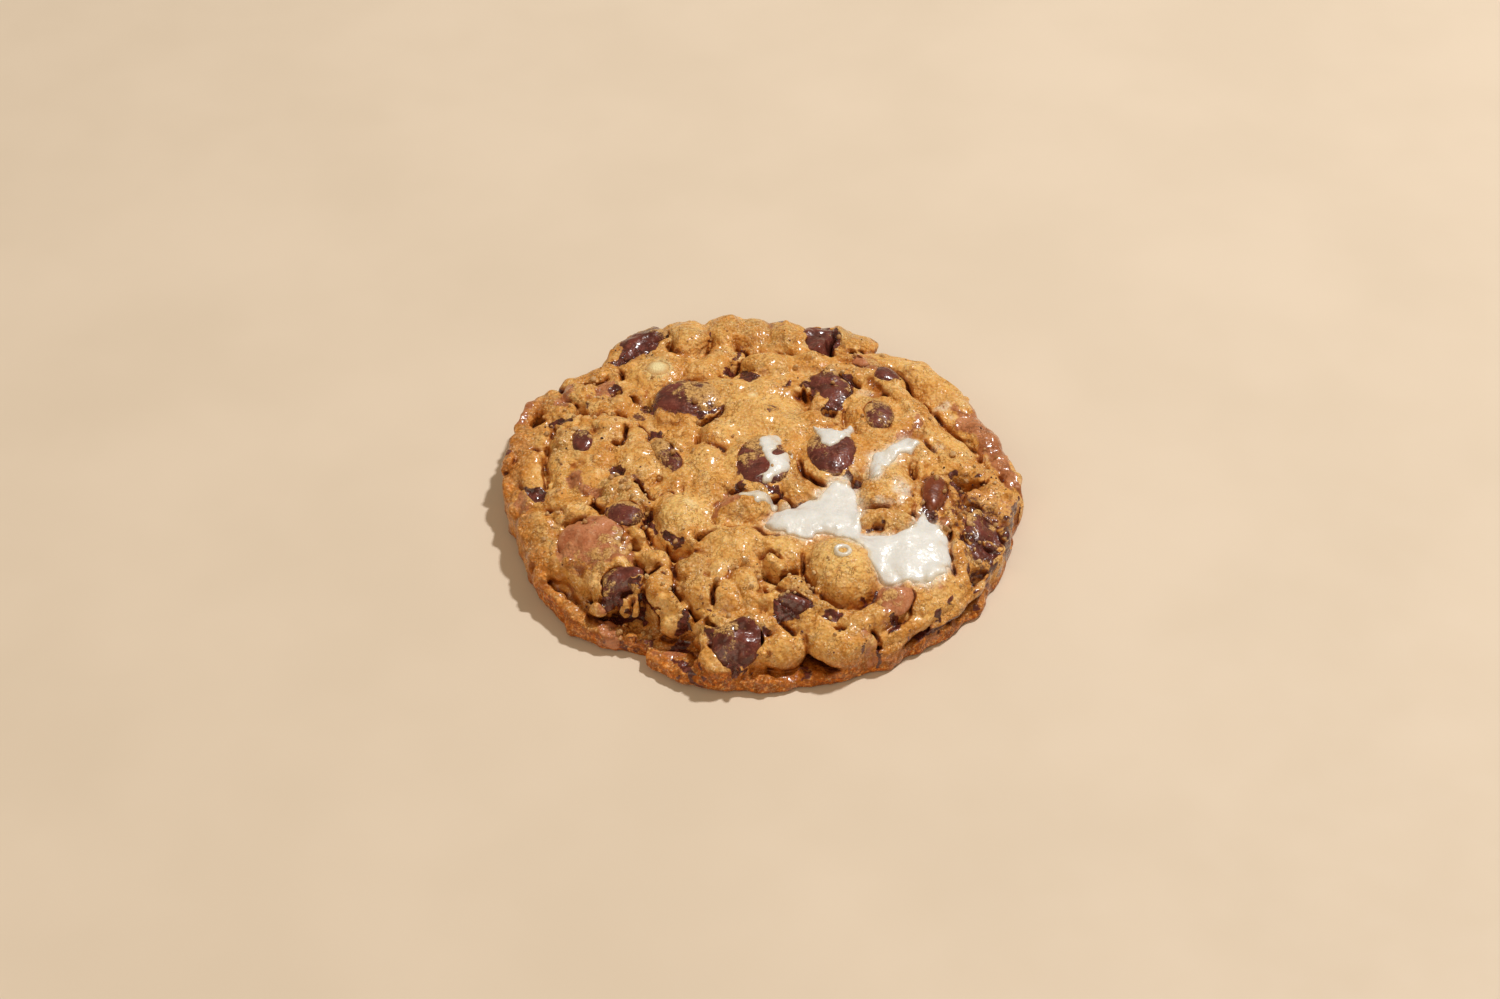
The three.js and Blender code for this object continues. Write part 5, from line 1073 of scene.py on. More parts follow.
def nuggets(f, count, seed):
    """Small knobs of dough pressed into the surface."""
    rng = np.random.RandomState(seed)
    top = heights(f, G)
    share = (0.12 + CRUMB2 + 0.5 * smoothstep(0.6, 2.0, CREASE)) * (1 - 0.8 * CALM2)
    share = share / share.max() * smoothstep(0.2, 1.0, OPEN)
    made = 0
    while made < count:
        i, j = rng.randint(0, G.shape[0]), rng.randint(0, G.shape[1])
        if top[i, j] < 3.0 or rng.rand() > share[i, j]:
            continue
        r = 0.6 + 0.9 * rng.rand() ** 1.6
        x, y = float(G.ax[0][i]), float(G.ax[1][j])
        z = float(top[i, j]) - 0.3 * r
        s = G.window((x, y, z), (r * 1.6 + 0.6,) * 3)
        e = ellipsoid(G.X[s[0]] - x, G.Y[:, s[1]] - y, G.Z[:, :, s[2]] - z,
                      r * rng.uniform(0.8, 1.5), r * rng.uniform(0.8, 1.3),
                      r * rng.uniform(0.7, 1.0), rng.uniform(0, 180), 0.0, 0.0)
        f[s] = smin(f[s], e, 0.45)
        made += 1
    return f


sunk = patches(X2, Y2, [r for r in DARK_PATCHES_AND_SHADOWS if r[0] > 0.75],
               0.5 * edge2 + 0.3 * edge1, 0.35)
f_dough += (0.50 * sunk[:, :, None] * smoothstep(1.5, 3.5, G.Z)).astype(np.float32)
f_dough = nuggets(f_dough, 170, 46)
ANG2 = np.degrees(np.arctan2(Y2, X2)) % 360
GROOVE = (smoothstep(297, 305, ANG2) * smoothstep(331, 324, ANG2)
          * smoothstep(50, 54, np.hypot(X2, Y2)))
f_dough += (0.9 * GROOVE[:, :, None] * np.exp(
    -((G.Z - 5.2 + 0.5 * edge2[:, :, None]) / 0.8) ** 2)).astype(np.float32)
ridge = 0.9 - np.abs(noise(G.ax, 4.2, 45))
f_dough += (0.16 * smoothstep(0.66, 0.9, ridge)).astype(np.float32)
del ridge

# flat, slightly pitted base
base_pits = 0.10 * noise(G.ax[:2], 2.2, 51) + 0.10 * noise(G.ax[:2], 6.0, 52)
f_dough = smax(f_dough, -G.Z + 0.12 * smoothstep(0.6, 2.0, base_pits * 8)[:, :, None],
               0.3)
LIFT = [(0, 0.5), (90, 0.4), (180, 0.6), (205, 0.9), (225, 1.0), (240, 0.8), (243, 1.2),
        (256, 1.2), (264, 0.7), (280, 0.4), (320, 0.5), (360, 0.5)]
raised = by_angle(LIFT, X2, Y2) * smoothstep(50.0, 60.0, np.hypot(X2, Y2)
                                             + 1.2 * noise(G.ax[:2], 6.0, 53))
f_dough = smax(f_dough, (raised[:, :, None] - G.Z) * 0.95, 0.3)
f_dough = np.maximum(f_dough, 0.02 - G.Z).astype(np.float32)


f_scene = np.minimum(f_dough, f_chips)
H_SCENE = heights(f_scene, G)


def plane_value(m, x, y):
    """Bilinear value of a 2-D map of G at points x, y."""
    u = np.clip((x - G.lo[0]) / G.h, 0, G.shape[0] - 1.001)
    v = np.clip((y - G.lo[1]) / G.h, 0, G.shape[1] - 1.001)
    i, j = np.floor(u).astype(int), np.floor(v).astype(int)
    s, t = u - i, v - j
    return ((1 - s) * (1 - t) * m[i, j] + s * (1 - t) * m[i + 1, j]
            + (1 - s) * t * m[i, j + 1] + s * t * m[i + 1, j + 1])


# ------------------------------------------------------------ marshmallow ---
POOL = [(0.1, -21.5), (1.2, -20.2), (2.6, -17.6), (4.2, -17.0), (6.0, -16.6), (8.3, -14.5),
        (10.1, -14.1), (11.7, -13.6), (13.3, -12.2), (14.7, -9.6), (15.9, -7.5),
        (17.1, -7.1), (18.2, -7.6), (19.9, -7.0), (21.0, -9.0), (21.4, -12.1),
        (21.9, -14.4), (21.9, -19.3), (21.4, -20.7), (21.4, -22.0), (21.6, -24.6),
        (23.4, -24.7), (26.1, -24.9), (28.5, -24.9), (30.6, -24.1), (32.8, -23.1),
        (34.9, -18.9), (35.7, -16.5), (36.4, -17.0), (37.2, -19.0), (38.7, -20.4),
        (39.7, -22.1), (40.6, -23.1), (41.2, -25.2), (41.7, -28.0), (42.0, -30.3),
        (41.7, -31.4), (40.8, -34.7), (39.3, -36.7), (37.7, -37.9), (36.2, -38.7),
        (34.9, -37.5), (32.6, -38.8), (30.0, -38.3), (27.4, -38.2), (25.6, -37.7),
        (25.2, -36.5), (24.1, -35.2), (23.0, -33.6), (21.7, -31.5), (20.2, -29.3),
        (18.5, -27.3), (16.0, -25.0), (13.0, -25.4), (10.8, -26.3), (8.6, -26.5),
        (7.0, -25.3), (4.8, -25.2), (2.5, -24.3), (1.0, -22.3)]
STRING = [(32.7, 7.5), (34.4, 8.7), (35.4, 5.7), (34.8, 3.6), (33.1, 2.1), (31.2, 0.0),
          (29.0, -2.3), (27.4, -6.4), (25.9, -9.4), (24.2, -7.9), (23.9, -4.0),
          (24.9, -1.0), (25.4, 1.7), (27.8, 1.7), (30.2, 4.0)]
SMEARS = [   # outline, thickness
    ([(-0.7, 5.4), (1.1, 7.2), (3.0, 7.4), (4.1, 5.4), (3.6, 2.2), (2.5, -0.2),
      (2.7, -1.9), (4.1, -1.3), (5.0, 0.4), (5.9, -0.7), (6.1, -2.8), (5.6, -5.4),
      (4.5, -7.2), (2.9, -8.7), (0.8, -9.6), (-1.2, -9.4), (-2.1, -8.9), (-0.3, -8.4),
      (0.8, -7.3), (1.3, -5.5), (0.6, -3.4), (-0.3, -1.0), (-1.0, 1.5)], 0.75),
    ([(10.9, 10.0), (11.6, 9.4), (12.5, 5.5), (13.1, 2.4), (14.2, 1.1), (16.3, 1.1),
      (17.1, 2.7), (17.4, 4.4), (19.0, 4.2), (20.6, 6.4), (20.5, 11.5), (20.0, 12.3),
      (19.2, 10.7), (17.9, 7.4), (17.0, 8.8), (15.4, 9.0), (14.0, 9.5), (12.9, 10.1),
      (11.9, 10.1)], 0.80),
    ([(-5.8, -14.0), (-4.0, -11.6), (-1.9, -11.8), (-0.1, -12.4), (1.3, -12.6),
      (2.4, -13.0), (3.3, -15.3), (4.2, -16.8), (2.8, -16.6), (1.7, -17.0), (0.1, -17.6),
      (-1.7, -17.3), (-3.3, -16.7), (-4.9, -15.6)], 0.42),
    ([(6.7, 2.0), (7.8, 2.0), (7.8, 0.3), (6.9, -1.1), (6.4, 0.2)], 0.26),
]
GLAZE_PATCHES = [
    (1.0, [(29.5, -10.0), (32.3, -8.6), (34.0, -8.8), (33.7, -9.8), (32.3, -13.9),
           (31.8, -15.4), (30.7, -15.4), (30.9, -13.3), (29.6, -11.8)]),
    (0.9, [(25.9, -14.5), (27.7, -15.0), (29.3, -15.1), (28.2, -15.6), (26.1, -15.1)])]


def smooth_poly(poly, times=2):
    p = np.array(poly, float)
    for _ in range(times):
        q = np.roll(p, -1, 0)
        p = np.stack([0.75 * p + 0.25 * q, 0.25 * p + 0.75 * q], 1).reshape(-1, 2)
    return p


def sheet(outline, thick, edge, seed, h, sink=0.55, ragged=1.0, smooth=8,
          streak=0.0, ring=None, reach=None):
    """A soft sheet lying on the cookie inside an outline."""
    p = np.array(outline, float) if ring is None else None
    if ring is None:
        lo, hi = p.min(0) - 1.6, p.max(0) + 1.6
    else:
        cx, cy, rr, half = ring
        lo = np.array([cx, cy]) - rr - half - 1.0
        hi = np.array([cx, cy]) + rr + half + 1.0
    zx = H_SCENE[(x2 > lo[0]).ravel() & (x2 < hi[0]).ravel()][
        :, (y2 > lo[1]).ravel() & (y2 < hi[1]).ravel()]
    g = Grid((lo[0], lo[1], float(zx.min()) - 1.2),
             (hi[0], hi[1], float(zx.max()) + thick + 1.4), h)
    gx, gy = g.ax[0][:, None], g.ax[1][None, :]
    gxx = np.broadcast_to(gx, g.shape[:2]).astype(float)
    gyy = np.broadcast_to(gy, g.shape[:2]).astype(float)
    n1, n2 = noise(g.ax[:2], 2.4, seed), noise(g.ax[:2], 1.0, seed + 1)
    if ring is None:
        d2 = polygon_distance(gxx + 0.25 * n1, gyy - 0.25 * n2, smooth_poly(outline, 2))
    else:
        d2 = np.abs(np.hypot(gxx - cx, gyy - cy) - rr) - half
    d2 = d2 + ragged * (0.34 * n1 + 0.22 * n2)
    hs = H_SCENE.copy()
    low = blur(hs, smooth)
    low = np.maximum(low, blur(hs, 2) - 0.5 * thick)
    hb = plane_value(low, gxx, gyy)
    t = thick * np.sqrt(np.clip(1 - np.exp(np.minimum(d2, 0) / edge), 0, 1))
    t = t - 0.8 * np.clip(d2, 0, 2)
    wave = 0.10 * noise(g.ax[:2], 3.4, seed + 2)
    if streak:
        u = 0.55 * gxx - 0.83 * gyy
        wave = wave + streak * np.sin(u * 3.1 + 2.2 * n1) * 0.5
    top = hb + t + wave * smoothstep(0, -1.2, d2)
    fs = f_scene
    pts = np.stack([np.broadcast_to(a, g.shape).ravel() for a in (g.X, g.Y, g.Z)], 1)
    base = G.sample(fs, pts).reshape(g.shape)
    f = smax((g.Z - top[:, :, None]) * 0.9, np.broadcast_to(
        (d2 - 0.15)[:, :, None], g.shape) * 0.8, 0.35)
    f = smax(f, -(base + sink), 0.2)
    f += 0.03 * noise(g.ax, 1.2, seed + 3)
    f[:, :, 0] = f[:, :, -1] = 1
    f[0] = f[-1] = 1
    f[:, 0] = f[:, -1] = 1
    pts, quads = surface_net(f.astype(np.float32), g)
    if len(quads) == 0:
        return pts, quads
    pts, quads = largest_part(pts, quads, keep_min=60)
    pts = relax(pts, quads, 2, 0.5)
    return pts, quads


# ----------------------------------------------------------- object tools ---
def make_object(name, pts, faces, smooth=True):
    """A mesh object from points in millimetres and faces of one size."""
    me = bpy.data.meshes.new(name)
    n, k = len(faces), faces.shape[1]
    me.vertices.add(len(pts))
    me.vertices.foreach_set("co", ((pts + SHIFT) * MM).astype(np.float32).ravel())
    me.loops.add(n * k)
    me.loops.foreach_set("vertex_index", faces.astype(np.int32).ravel())
    me.polygons.add(n)
    me.polygons.foreach_set("loop_start", np.arange(0, n * k, k, dtype=np.int32))
    me.polygons.foreach_set("loop_total", np.full(n, k, np.int32))
    me.update(calc_edges=True)
    me.validate()
    ob = bpy.data.objects.new(name, me)
    bpy.context.scene.collection.objects.link(ob)
    if smooth:
        me.polygons.foreach_set("use_smooth", np.ones(len(me.polygons), bool))
    return ob


def thin(ob, triangles):
    """Reduces a mesh to about so many triangles, flat places first."""
    have = sum(len(p.vertices) - 2 for p in ob.data.polygons)
    if have > triangles:
        m = ob.modifiers.new("thin", "DECIMATE")
        m.ratio = triangles / have
        dg = bpy.context.evaluated_depsgraph_get()
        me = bpy.data.meshes.new_from_object(ob.evaluated_get(dg))
        ob.modifiers.clear()
        old = ob.data
        ob.data = me
        me.name = ob.name
        bpy.data.meshes.remove(old)
        me.polygons.foreach_set("use_smooth", np.ones(len(me.polygons), bool))
    return ob


def points_of(ob):
    me = ob.data
    co = np.zeros(len(me.vertices) * 3, np.float32)
    me.vertices.foreach_get("co", co)
    no = np.zeros(len(me.vertices) * 3, np.float32)
    me.vertices.foreach_get("normal", no)
    return co.reshape(-1, 3) / MM - SHIFT, no.reshape(-1, 3)


def put(ob, name, values):
    a = ob.data.attributes.new(name, "FLOAT", "POINT")
    a.data.foreach_set("value", np.clip(values, 0, 1).astype(np.float32))


def hollows(p, n, steps=((0.7, 0.4), (1.6, 0.35), (3.4, 0.25))):
    """0 on open faces, 1 deep in a crevice."""
    out = 0
    for d, w in steps:
        out = out + w * np.clip(1 - G.sample(f_scene, p + n * d) / d, 0, 1)
    return np.clip(out, 0, 1)


def blob(p, rows, wobble=0.0):
    """Strongest of several soft round marks: x, y, radius, strength."""
    out = np.zeros(len(p))
    for x, y, r, k in rows:
        d = np.hypot(p[:, 0] - x, p[:, 1] - y) + wobble
        out = np.maximum(out, k * smoothstep(r * 1.15, r * 0.55, d))
    return out


# ----------------------------------------------------------------- dough ----
LIGHT = [(-2, 16, 13, 0.45), (-17.5, -18.4, 7, 0.8), (-16.5, -17.2, 3.2, 1.0),
         (17, -34, 8, 0.9), (-26, 34, 6, 0.35), (-7, -29, 8, 0.35),
         (4, -31.5, 3.6, 0.8), (44, 8, 7, 0.25), (28.5, -7, 6, 0.35),
         (3.6, 50, 6, 0.2), (-20, 50, 6, 0.25), (2, -37.2, 3.6, 0.45),
         (25.5, 20.5, 4, 0.4), (-12, -3, 6, 0.45), (-8.6, 24.4, 5, 0.4),
         (-30, 2, 5, 0.25), (1, 37, 5, 0.3), (34, 38, 7, 0.25)]
# khaki tones: x, y, radius, strength; the rows on the back roll (y 48 to 52) are partly painted shade
KHAKI_AND_BACK_SHADE = [(2.0, 52.0, 8.0, 0.8), (-8.0, 50.0, 5.0, 0.6), (-20.0, 48.0, 5.0, 0.5),
         (-46.6, 27.4, 5.4, 0.4), (-43, 31, 4.6, 0.35), (-40.2, -34.6, 4.2, 0.3),
         (-26.6, 15.6, 3.4, 0.4), (-23.8, 5.0, 3.4, 0.3), (-1.2, 33.4, 3.8, 0.3),
         (-54.6, -14, 4.6, 0.3), (-36.8, 13.0, 4.2, 0.3), (3.6, 50, 6, 0.3)]
DARK_SPOTS = [(5.6, 55.0, 2.0, 0.8), (2.4, 57.4, 1.6, 0.7), (-24.0, 57.0, 2.2, 0.7),
              (-42.0, 43.0, 2.0, 0.8), (28.0, 50.5, 2.0, 0.7), (44.0, 38.0, 2.2, 0.7),
              (-60.5, 8.0, 1.6, 0.6), (-9.0, 60.0, 1.8, 0.7)]
MILK_SPOTS = [(12.0, 56.5, 2.4, 0.6), (-34.0, 50.5, 2.6, 0.6), (36.5, 45.0, 2.4, 0.6),
              (-54.6, 32.6, 2.2, 0.6), (52.6, 27.0, 2.4, 0.5)]
# pale marks: x, y, radius, strength; partly marshmallow glaze and partly painted glints
GLAZE_AND_GLINTS = [(42.4, 22.4, 2.0, 1.0), (44.6, 18.8, 1.4, 0.8), (52.2, 5.4, 1.2, 0.7),
         (31.4, -9.6, 2.4, 0.6), (26.0, -4.2, 1.6, 0.5), (20.8, -3.8, 1.2, 0.4),
         (40.4, 6.2, 1.4, 0.5), (24.6, 24.6, 1.4, 0.4)]


def build_dough_piece():
    pts, quads = surface_net(f_dough, G)
    pts, quads = largest_part(pts, quads)
    pts = relax(pts, quads, 1, 0.35)
    ob = make_object("dough", pts, quads)
    thin(ob, 192000)
    p, n = points_of(ob)
    r = np.hypot(p[:, 0], p[:, 1])
    ang = np.degrees(np.arctan2(p[:, 1], p[:, 0])) % 360
    wob = 0.9 * plane_value(noise(G.ax[:2], 2.2, 61), p[:, 0], p[:, 1]) * 0.5
    wob2 = 0.5 * plane_value(noise(G.ax[:2], 1.2, 62), p[:, 0], p[:, 1])
    # crevice depth, used to paint shade into the dough's colour in crevices
    crevice_shade_mask = hollows(p, n)
    put(ob, "painted_crevice_shade", crevice_shade_mask)
    put(ob, "light", blob(p, LIGHT, wob * 2))
    soft = wob * 0.8 + wob2
    # khaki dough tone, partly painted shade on the back roll
    khaki_and_shade = np.maximum(blob(p, KHAKI_AND_BACK_SHADE, wob * 2),
                       patches(p[:, 0], p[:, 1], KHAKI_PATCHES, wob, 1.1))
    put(ob, "khaki_and_shade", khaki_and_shade * (n[:, 2] > -0.1))
    rim = by_angle(SKIRT_R, p[:, 0], p[:, 1])
    low = smoothstep(5.6, 1.6, p[:, 2] + wob)
    inward = smoothstep(rim - 7.5, rim - 2.0, r)
    past = r - by_angle(LIP, p[:, 0], p[:, 1]) + wob * 0.5
    ledge = smoothstep(-0.6, 1.0, past) * smoothstep(7.6, 6.2, p[:, 2]) \
        * (1 - 0.45 * smoothstep(0.3, 0.9, n[:, 2]) * smoothstep(1.6, 3.0, p[:, 2]))
    toast_and_shade = np.maximum(low * (0.55 + 0.45 * inward), ledge)
    # undersides of overhangs get toasted colour, partly real browning and partly painted shade
    under = smoothstep(-0.1, -0.75, n[:, 2]) * smoothstep(9, 3, p[:, 2])
    toast_and_shade = np.maximum(toast_and_shade, under * 0.8)
    # the lower front gets toasted colour, partly real browning and partly painted shade
    front = smoothstep(230, 250, ang) * smoothstep(335, 310, ang)
    toast_and_shade = np.maximum(toast_and_shade, front * smoothstep(9.5, 3.2, p[:, 2] + wob) * 0.9)
    left = smoothstep(140, 160, ang) * smoothstep(235, 215, ang)
    toast_and_shade = np.maximum(toast_and_shade, left * 0.55 * smoothstep(52.5, 58.5, r + wob))
    put(ob, "toast_and_shade", toast_and_shade)
    base = smoothstep(0.55, 0.2, p[:, 2])
    put(ob, "base", base)
    shown = smoothstep(-0.35, 0.0, n[:, 2])
    behind = smoothstep(15, 40, ang) * smoothstep(175, 150, ang)
    shown = shown * (1 - behind * smoothstep(0.50, 0.15, n[:, 2]))
    steep = 1.5 * smoothstep(0.75, 0.25, n[:, 2])
    qx = p[:, 0] + steep * G.sample(noise(G.ax, 2.2, 63), p)
    qy = p[:, 1] + steep * G.sample(noise(G.ax, 2.2, 64), p)
    # dark chocolate colour: stains, and painted shadow where the dark outlines cover crevices
    dark = np.maximum(blob(p, DARK_SPOTS, wob), shown * patches(
        qx, qy, DARK_PATCHES_AND_SHADOWS, soft * 0.7, 0.36))
    milk = np.maximum(blob(p, MILK_SPOTS, wob), shown * patches(
        qx, qy, MILK_PATCHES, soft * 0.8, 0.7))
    band = smoothstep(299, 305, ang) * smoothstep(331, 324, ang) * smoothstep(54, 56.5, r) \
        * smoothstep(1.25, 0.55, np.abs(p[:, 2] - 5.2 + wob * 0.8))
    dark = np.maximum(dark, 0.85 * band)
    for ch in CHIP_LIST:
        near = (np.abs(p[:, 0] - ch.x) < ch.a + ch.b + 2) & \
               (np.abs(p[:, 1] - ch.y) < ch.a + ch.b + 2)
        q = p[near]
        d = ch.body(q[:, 0], q[:, 1], q[:, 2])
        # melted chocolate stain round each chip, partly painted shade where dough meets chip
        stain_and_shade = 0.6 * np.exp(-np.clip(d + 0.25 * wob2[near], 0, None) / 0.22)
        if ch.kind == "milkmelt":
            milk[near] = np.maximum(milk[near], 0.9 * stain_and_shade)
        elif ch.kind != "white":
            dark[near] = np.maximum(dark[near], 0.9 * stain_and_shade)
    put(ob, "dark", dark * (1 - base))
    put(ob, "milk", milk * (1 - base))
    put(ob, "pale", blob(p, [(-24.9, 33.9, 3.4, 1.0), (-2.8, 21.5, 1.25, 1.0),
                             (-16.6, -17.0, 1.9, 0.55)], wob * 0.5))
    glaze_and_glint = np.zeros(len(p))
    for line in (POOL, STRING):
        lo, hi = np.min(line, 0) - 3, np.max(line, 0) + 3
        near = ((p[:, :2] > lo) & (p[:, :2] < hi)).all(1)
        d = polygon_distance(p[near, 0], p[near, 1], smooth_poly(line))
        glaze_and_glint[near] = np.maximum(glaze_and_glint[near], np.exp(-np.clip(d + wob[near], 0, None) / 0.5))
    # the round marks add painted glints to the glaze
    glaze_and_glint = np.maximum(glaze_and_glint, 0.8 * blob(p, GLAZE_AND_GLINTS, wob))
    glaze_and_glint = np.maximum(glaze_and_glint, patches(p[:, 0], p[:, 1], GLAZE_PATCHES, soft * 0.6, 0.5))
    put(ob, "glaze_and_glint", glaze_and_glint)
    return ob


dough = build_dough_piece()


# ------------------------------------------------------- chocolate pieces ---
def build_chip(ch):
    r = ch.reach(0.9)
    g = Grid((ch.x - r[0], ch.y - r[1], ch.z - r[2]),
             (ch.x + r[0], ch.y + r[1], ch.z + r[2]), VOX_S)
    X, Y, Z = g.X, g.Y, g.Z
    gx = g.X[:, :, 0] + 0 * g.Y[:, :, 0]
    gy = g.Y[:, :, 0] + 0 * g.X[:, :, 0]
    wx, wy = ch.warp * plane_value(WX, gx, gy), ch.warp * plane_value(WY, gx, gy)
    f = ch.body(X + wx[:, :, None], Y + wy[:, :, None], Z) + 0 * X
    f = f + 0.16 * noise(g.ax, 4.0, ch.seed) + 0.05 * noise(g.ax, 1.5, ch.seed + 1)
    if ch.rough:
        f = f + ch.rough * (0.34 * noise(g.ax, 2.6, ch.seed + 2)
                            + 0.14 * noise(g.ax, 1.3, ch.seed + 3))
    if ch.kind == "shards":
        f = f + 0.5 * np.abs(noise(g.ax, 3.0, ch.seed + 5)) - 0.3
    tt = math.radians(ch.angle)
    dx, dy = X - ch.x, Y - ch.y
    w = Z - ch.z - (ch.gx * dx + ch.gy * dy)
    along = (math.cos(tt) * dx + math.sin(tt) * dy) / (0.5 * (ch.a + ch.b))
    mottle = 0.26 * noise(g.ax, 2.6, ch.seed + 6) + 0.30 * noise(g.ax, 1.0, ch.seed + 7)
    dust = smoothstep(-0.75, 0.65, along + mottle - (1 - 2 * ch.share))
    lap, _ = ch.lie(gx + wx, gy + wy)
    lap = lap + 0.35 * noise(g.ax[:2], 1.6, ch.seed + 9) + (0.3 if ch.share > 0.5 else -0.1)
    ring = 0.15 if ch.rough else 0.6
    dust = np.maximum(dust, ring * smoothstep(-0.3, 0.9, lap)[:, :, None] + 0 * dust)
    grain = 0.5 + 0.3 * noise(g.ax, 0.9, ch.seed + 8)
    f = f - 0.24 * smoothstep(0.35, 0.85, dust) * np.clip(grain, 0.1, 1.2)
    f = f.astype(np.float32)
    pts, quads = surface_net(f, g)
    pts, quads = largest_part(pts, quads)
    pts = relax(pts, quads, 2, 0.4)
    ob = make_object("look_" + ch.name, pts, quads)
    p, n = points_of(ob)
    put(ob, "dust", g.sample(dust.astype(np.float32), p))
    put(ob, "edge", np.hypot((p[:, 0] - ch.x) / ch.a, (p[:, 1] - ch.y) / ch.b))
    # crevice depth, used to paint shade into the chocolate in crevices
    put(ob, "painted_crevice_shade", hollows(p, n))
    return ob


chip_objects = {ch.name: build_chip(ch) for ch in CHIP_LIST}


# ----------------------------------------------------------- marshmallow ----
def soft_piece(name, parts):
    pts, faces, base = [], [], 0
    for p, q in parts:
        if len(q):
            pts.append(p)
            faces.append(q + base)
            base += len(p)
    ob = make_object(name, np.concatenate(pts), np.concatenate(faces))
    p, n = points_of(ob)
    put(ob, "film", smoothstep(0.75, 0.15, G.sample(f_scene, p)))
    put(ob, "painted_crevice_shade", hollows(p, n))
    return ob


HP = 0.27
pool = soft_piece("look_marshmallow_pool",
                  [sheet(POOL, 1.25, 1.5, 501, HP, ragged=0.6, smooth=22, streak=0.03)])
string = soft_piece("look_marshmallow_string",
                    [sheet(STRING, 0.95, 0.9, 521, HP, ragged=0.8, smooth=10, streak=0.10)])
smears = soft_piece("look_marshmallow_smears",
                    [sheet(o, t, 0.5, 540 + 7 * i, 0.22,
                           ragged=0.6, smooth=2, sink=0.5)
                     for i, (o, t) in enumerate(SMEARS)]
                    + [sheet(None, 0.6, 0.6, 610, 0.22, ragged=0.3,
                             smooth=3, ring=(17.4, -33.6, 1.55, 0.50), sink=0.4)])


# --------------------------------------------------------------- crumbs -----
def icosphere():
    t = (1 + 5 ** 0.5) / 2
    v = np.array([(-1, t, 0), (1, t, 0), (-1, -t, 0), (1, -t, 0), (0, -1, t), (0, 1, t),
                  (0, -1, -t), (0, 1, -t), (t, 0, -1), (t, 0, 1), (-t, 0, -1), (-t, 0, 1)],
                 float)
    v /= np.linalg.norm(v[0])
    f = [(0, 11, 5), (0, 5, 1), (0, 1, 7), (0, 7, 10), (0, 10, 11), (1, 5, 9), (5, 11, 4),
         (11, 10, 2), (10, 7, 6), (7, 1, 8), (3, 9, 4), (3, 4, 2), (3, 2, 6), (3, 6, 8),
         (3, 8, 9), (4, 9, 5), (2, 4, 11), (6, 2, 10), (8, 6, 7), (9, 8, 1)]
    for _ in range(2):
        mid, g = {}, []
        v = list(v)

        def m(a, b):
            key = (min(a, b), max(a, b))
            if key not in mid:
                c = v[a] + v[b]
                mid[key] = len(v)
                v.append(c / np.linalg.norm(c))
            return mid[key]
        for a, b, c in f:
            x, y, z = m(a, b), m(b, c), m(c, a)
            g += [(a, x, z), (b, y, x), (c, z, y), (x, y, z)]
        f = g
        v = np.array(v)
    return v, np.array(f)


def crumb_piece(name, count, seed, small, big, spots=()):
    """Many loose grains that rest on the cookie, as one joined mesh."""
    rng = np.random.RandomState(seed)
    v, f = icosphere()
    pts, faces, tone = [], [], []
    places = []
    while len(places) < count:
        x, y = rng.uniform(-58, 58, 2)
        if np.hypot(x, y) > 56:
            continue
        if spots and rng.rand() < 0.75:
            sx, sy, sr = spots[rng.randint(len(spots))]
            x, y = sx + sr * rng.standard_normal(), sy + sr * rng.standard_normal()
            if np.hypot(x, y) > 58:
                continue
        d = min(float(polygon_distance(np.array([x]), np.array([y]), np.array(o))[0])
                for o in (POOL, STRING))
        if d < 0.8:
            continue
        places.append((x, y))
    for k, (x, y) in enumerate(places):
        s = small + (big - small) * rng.rand() ** 2.2
        a = rng.standard_normal((4, 3))
        w = 1 + 0.16 * sum(np.sin(v @ q * 2.2 + i) for i, q in enumerate(a)) / 2
        e = v * w[:, None] * s * rng.uniform(0.62, 1.0, 3)
        c, q = math.cos(k * 2.1), math.sin(k * 2.1)
        e[:, :2] = e[:, :2] @ np.array([[c, -q], [q, c]])
        h = float(plane_value(H_SCENE, np.array([x]), np.array([y]))[0])
        if h < 1.0:
            continue
        e += (x, y, h + 0.30 * s)
        pts.append(e)
        faces.append(f + len(v) * len(faces))
        tone.append(np.full(len(v), rng.rand()))
    ob = make_object(name, np.concatenate(pts), np.concatenate(faces))
    put(ob, "tone", np.concatenate(tone))
    return ob


crumbs = crumb_piece("crumbs_dough", 260, 701, 0.28, 0.85,
                     spots=[(45, -20, 5), (-40, 30, 7), (-44, 14, 6), (-30, -12, 5),
                            (-28, -42, 5), (40, -30, 6), (8, -42, 5), (-12, -40, 6),
                            (-50, -20, 5), (20, 34, 6), (48, -4, 5)])
specks = crumb_piece("crumbs_chocolate", 90, 702, 0.16, 0.42,
                     spots=[(46, -22, 6), (-42, 14, 7), (16, 40, 7), (-30, 46, 5),
                            (50, -6, 5), (8, -46, 5)])


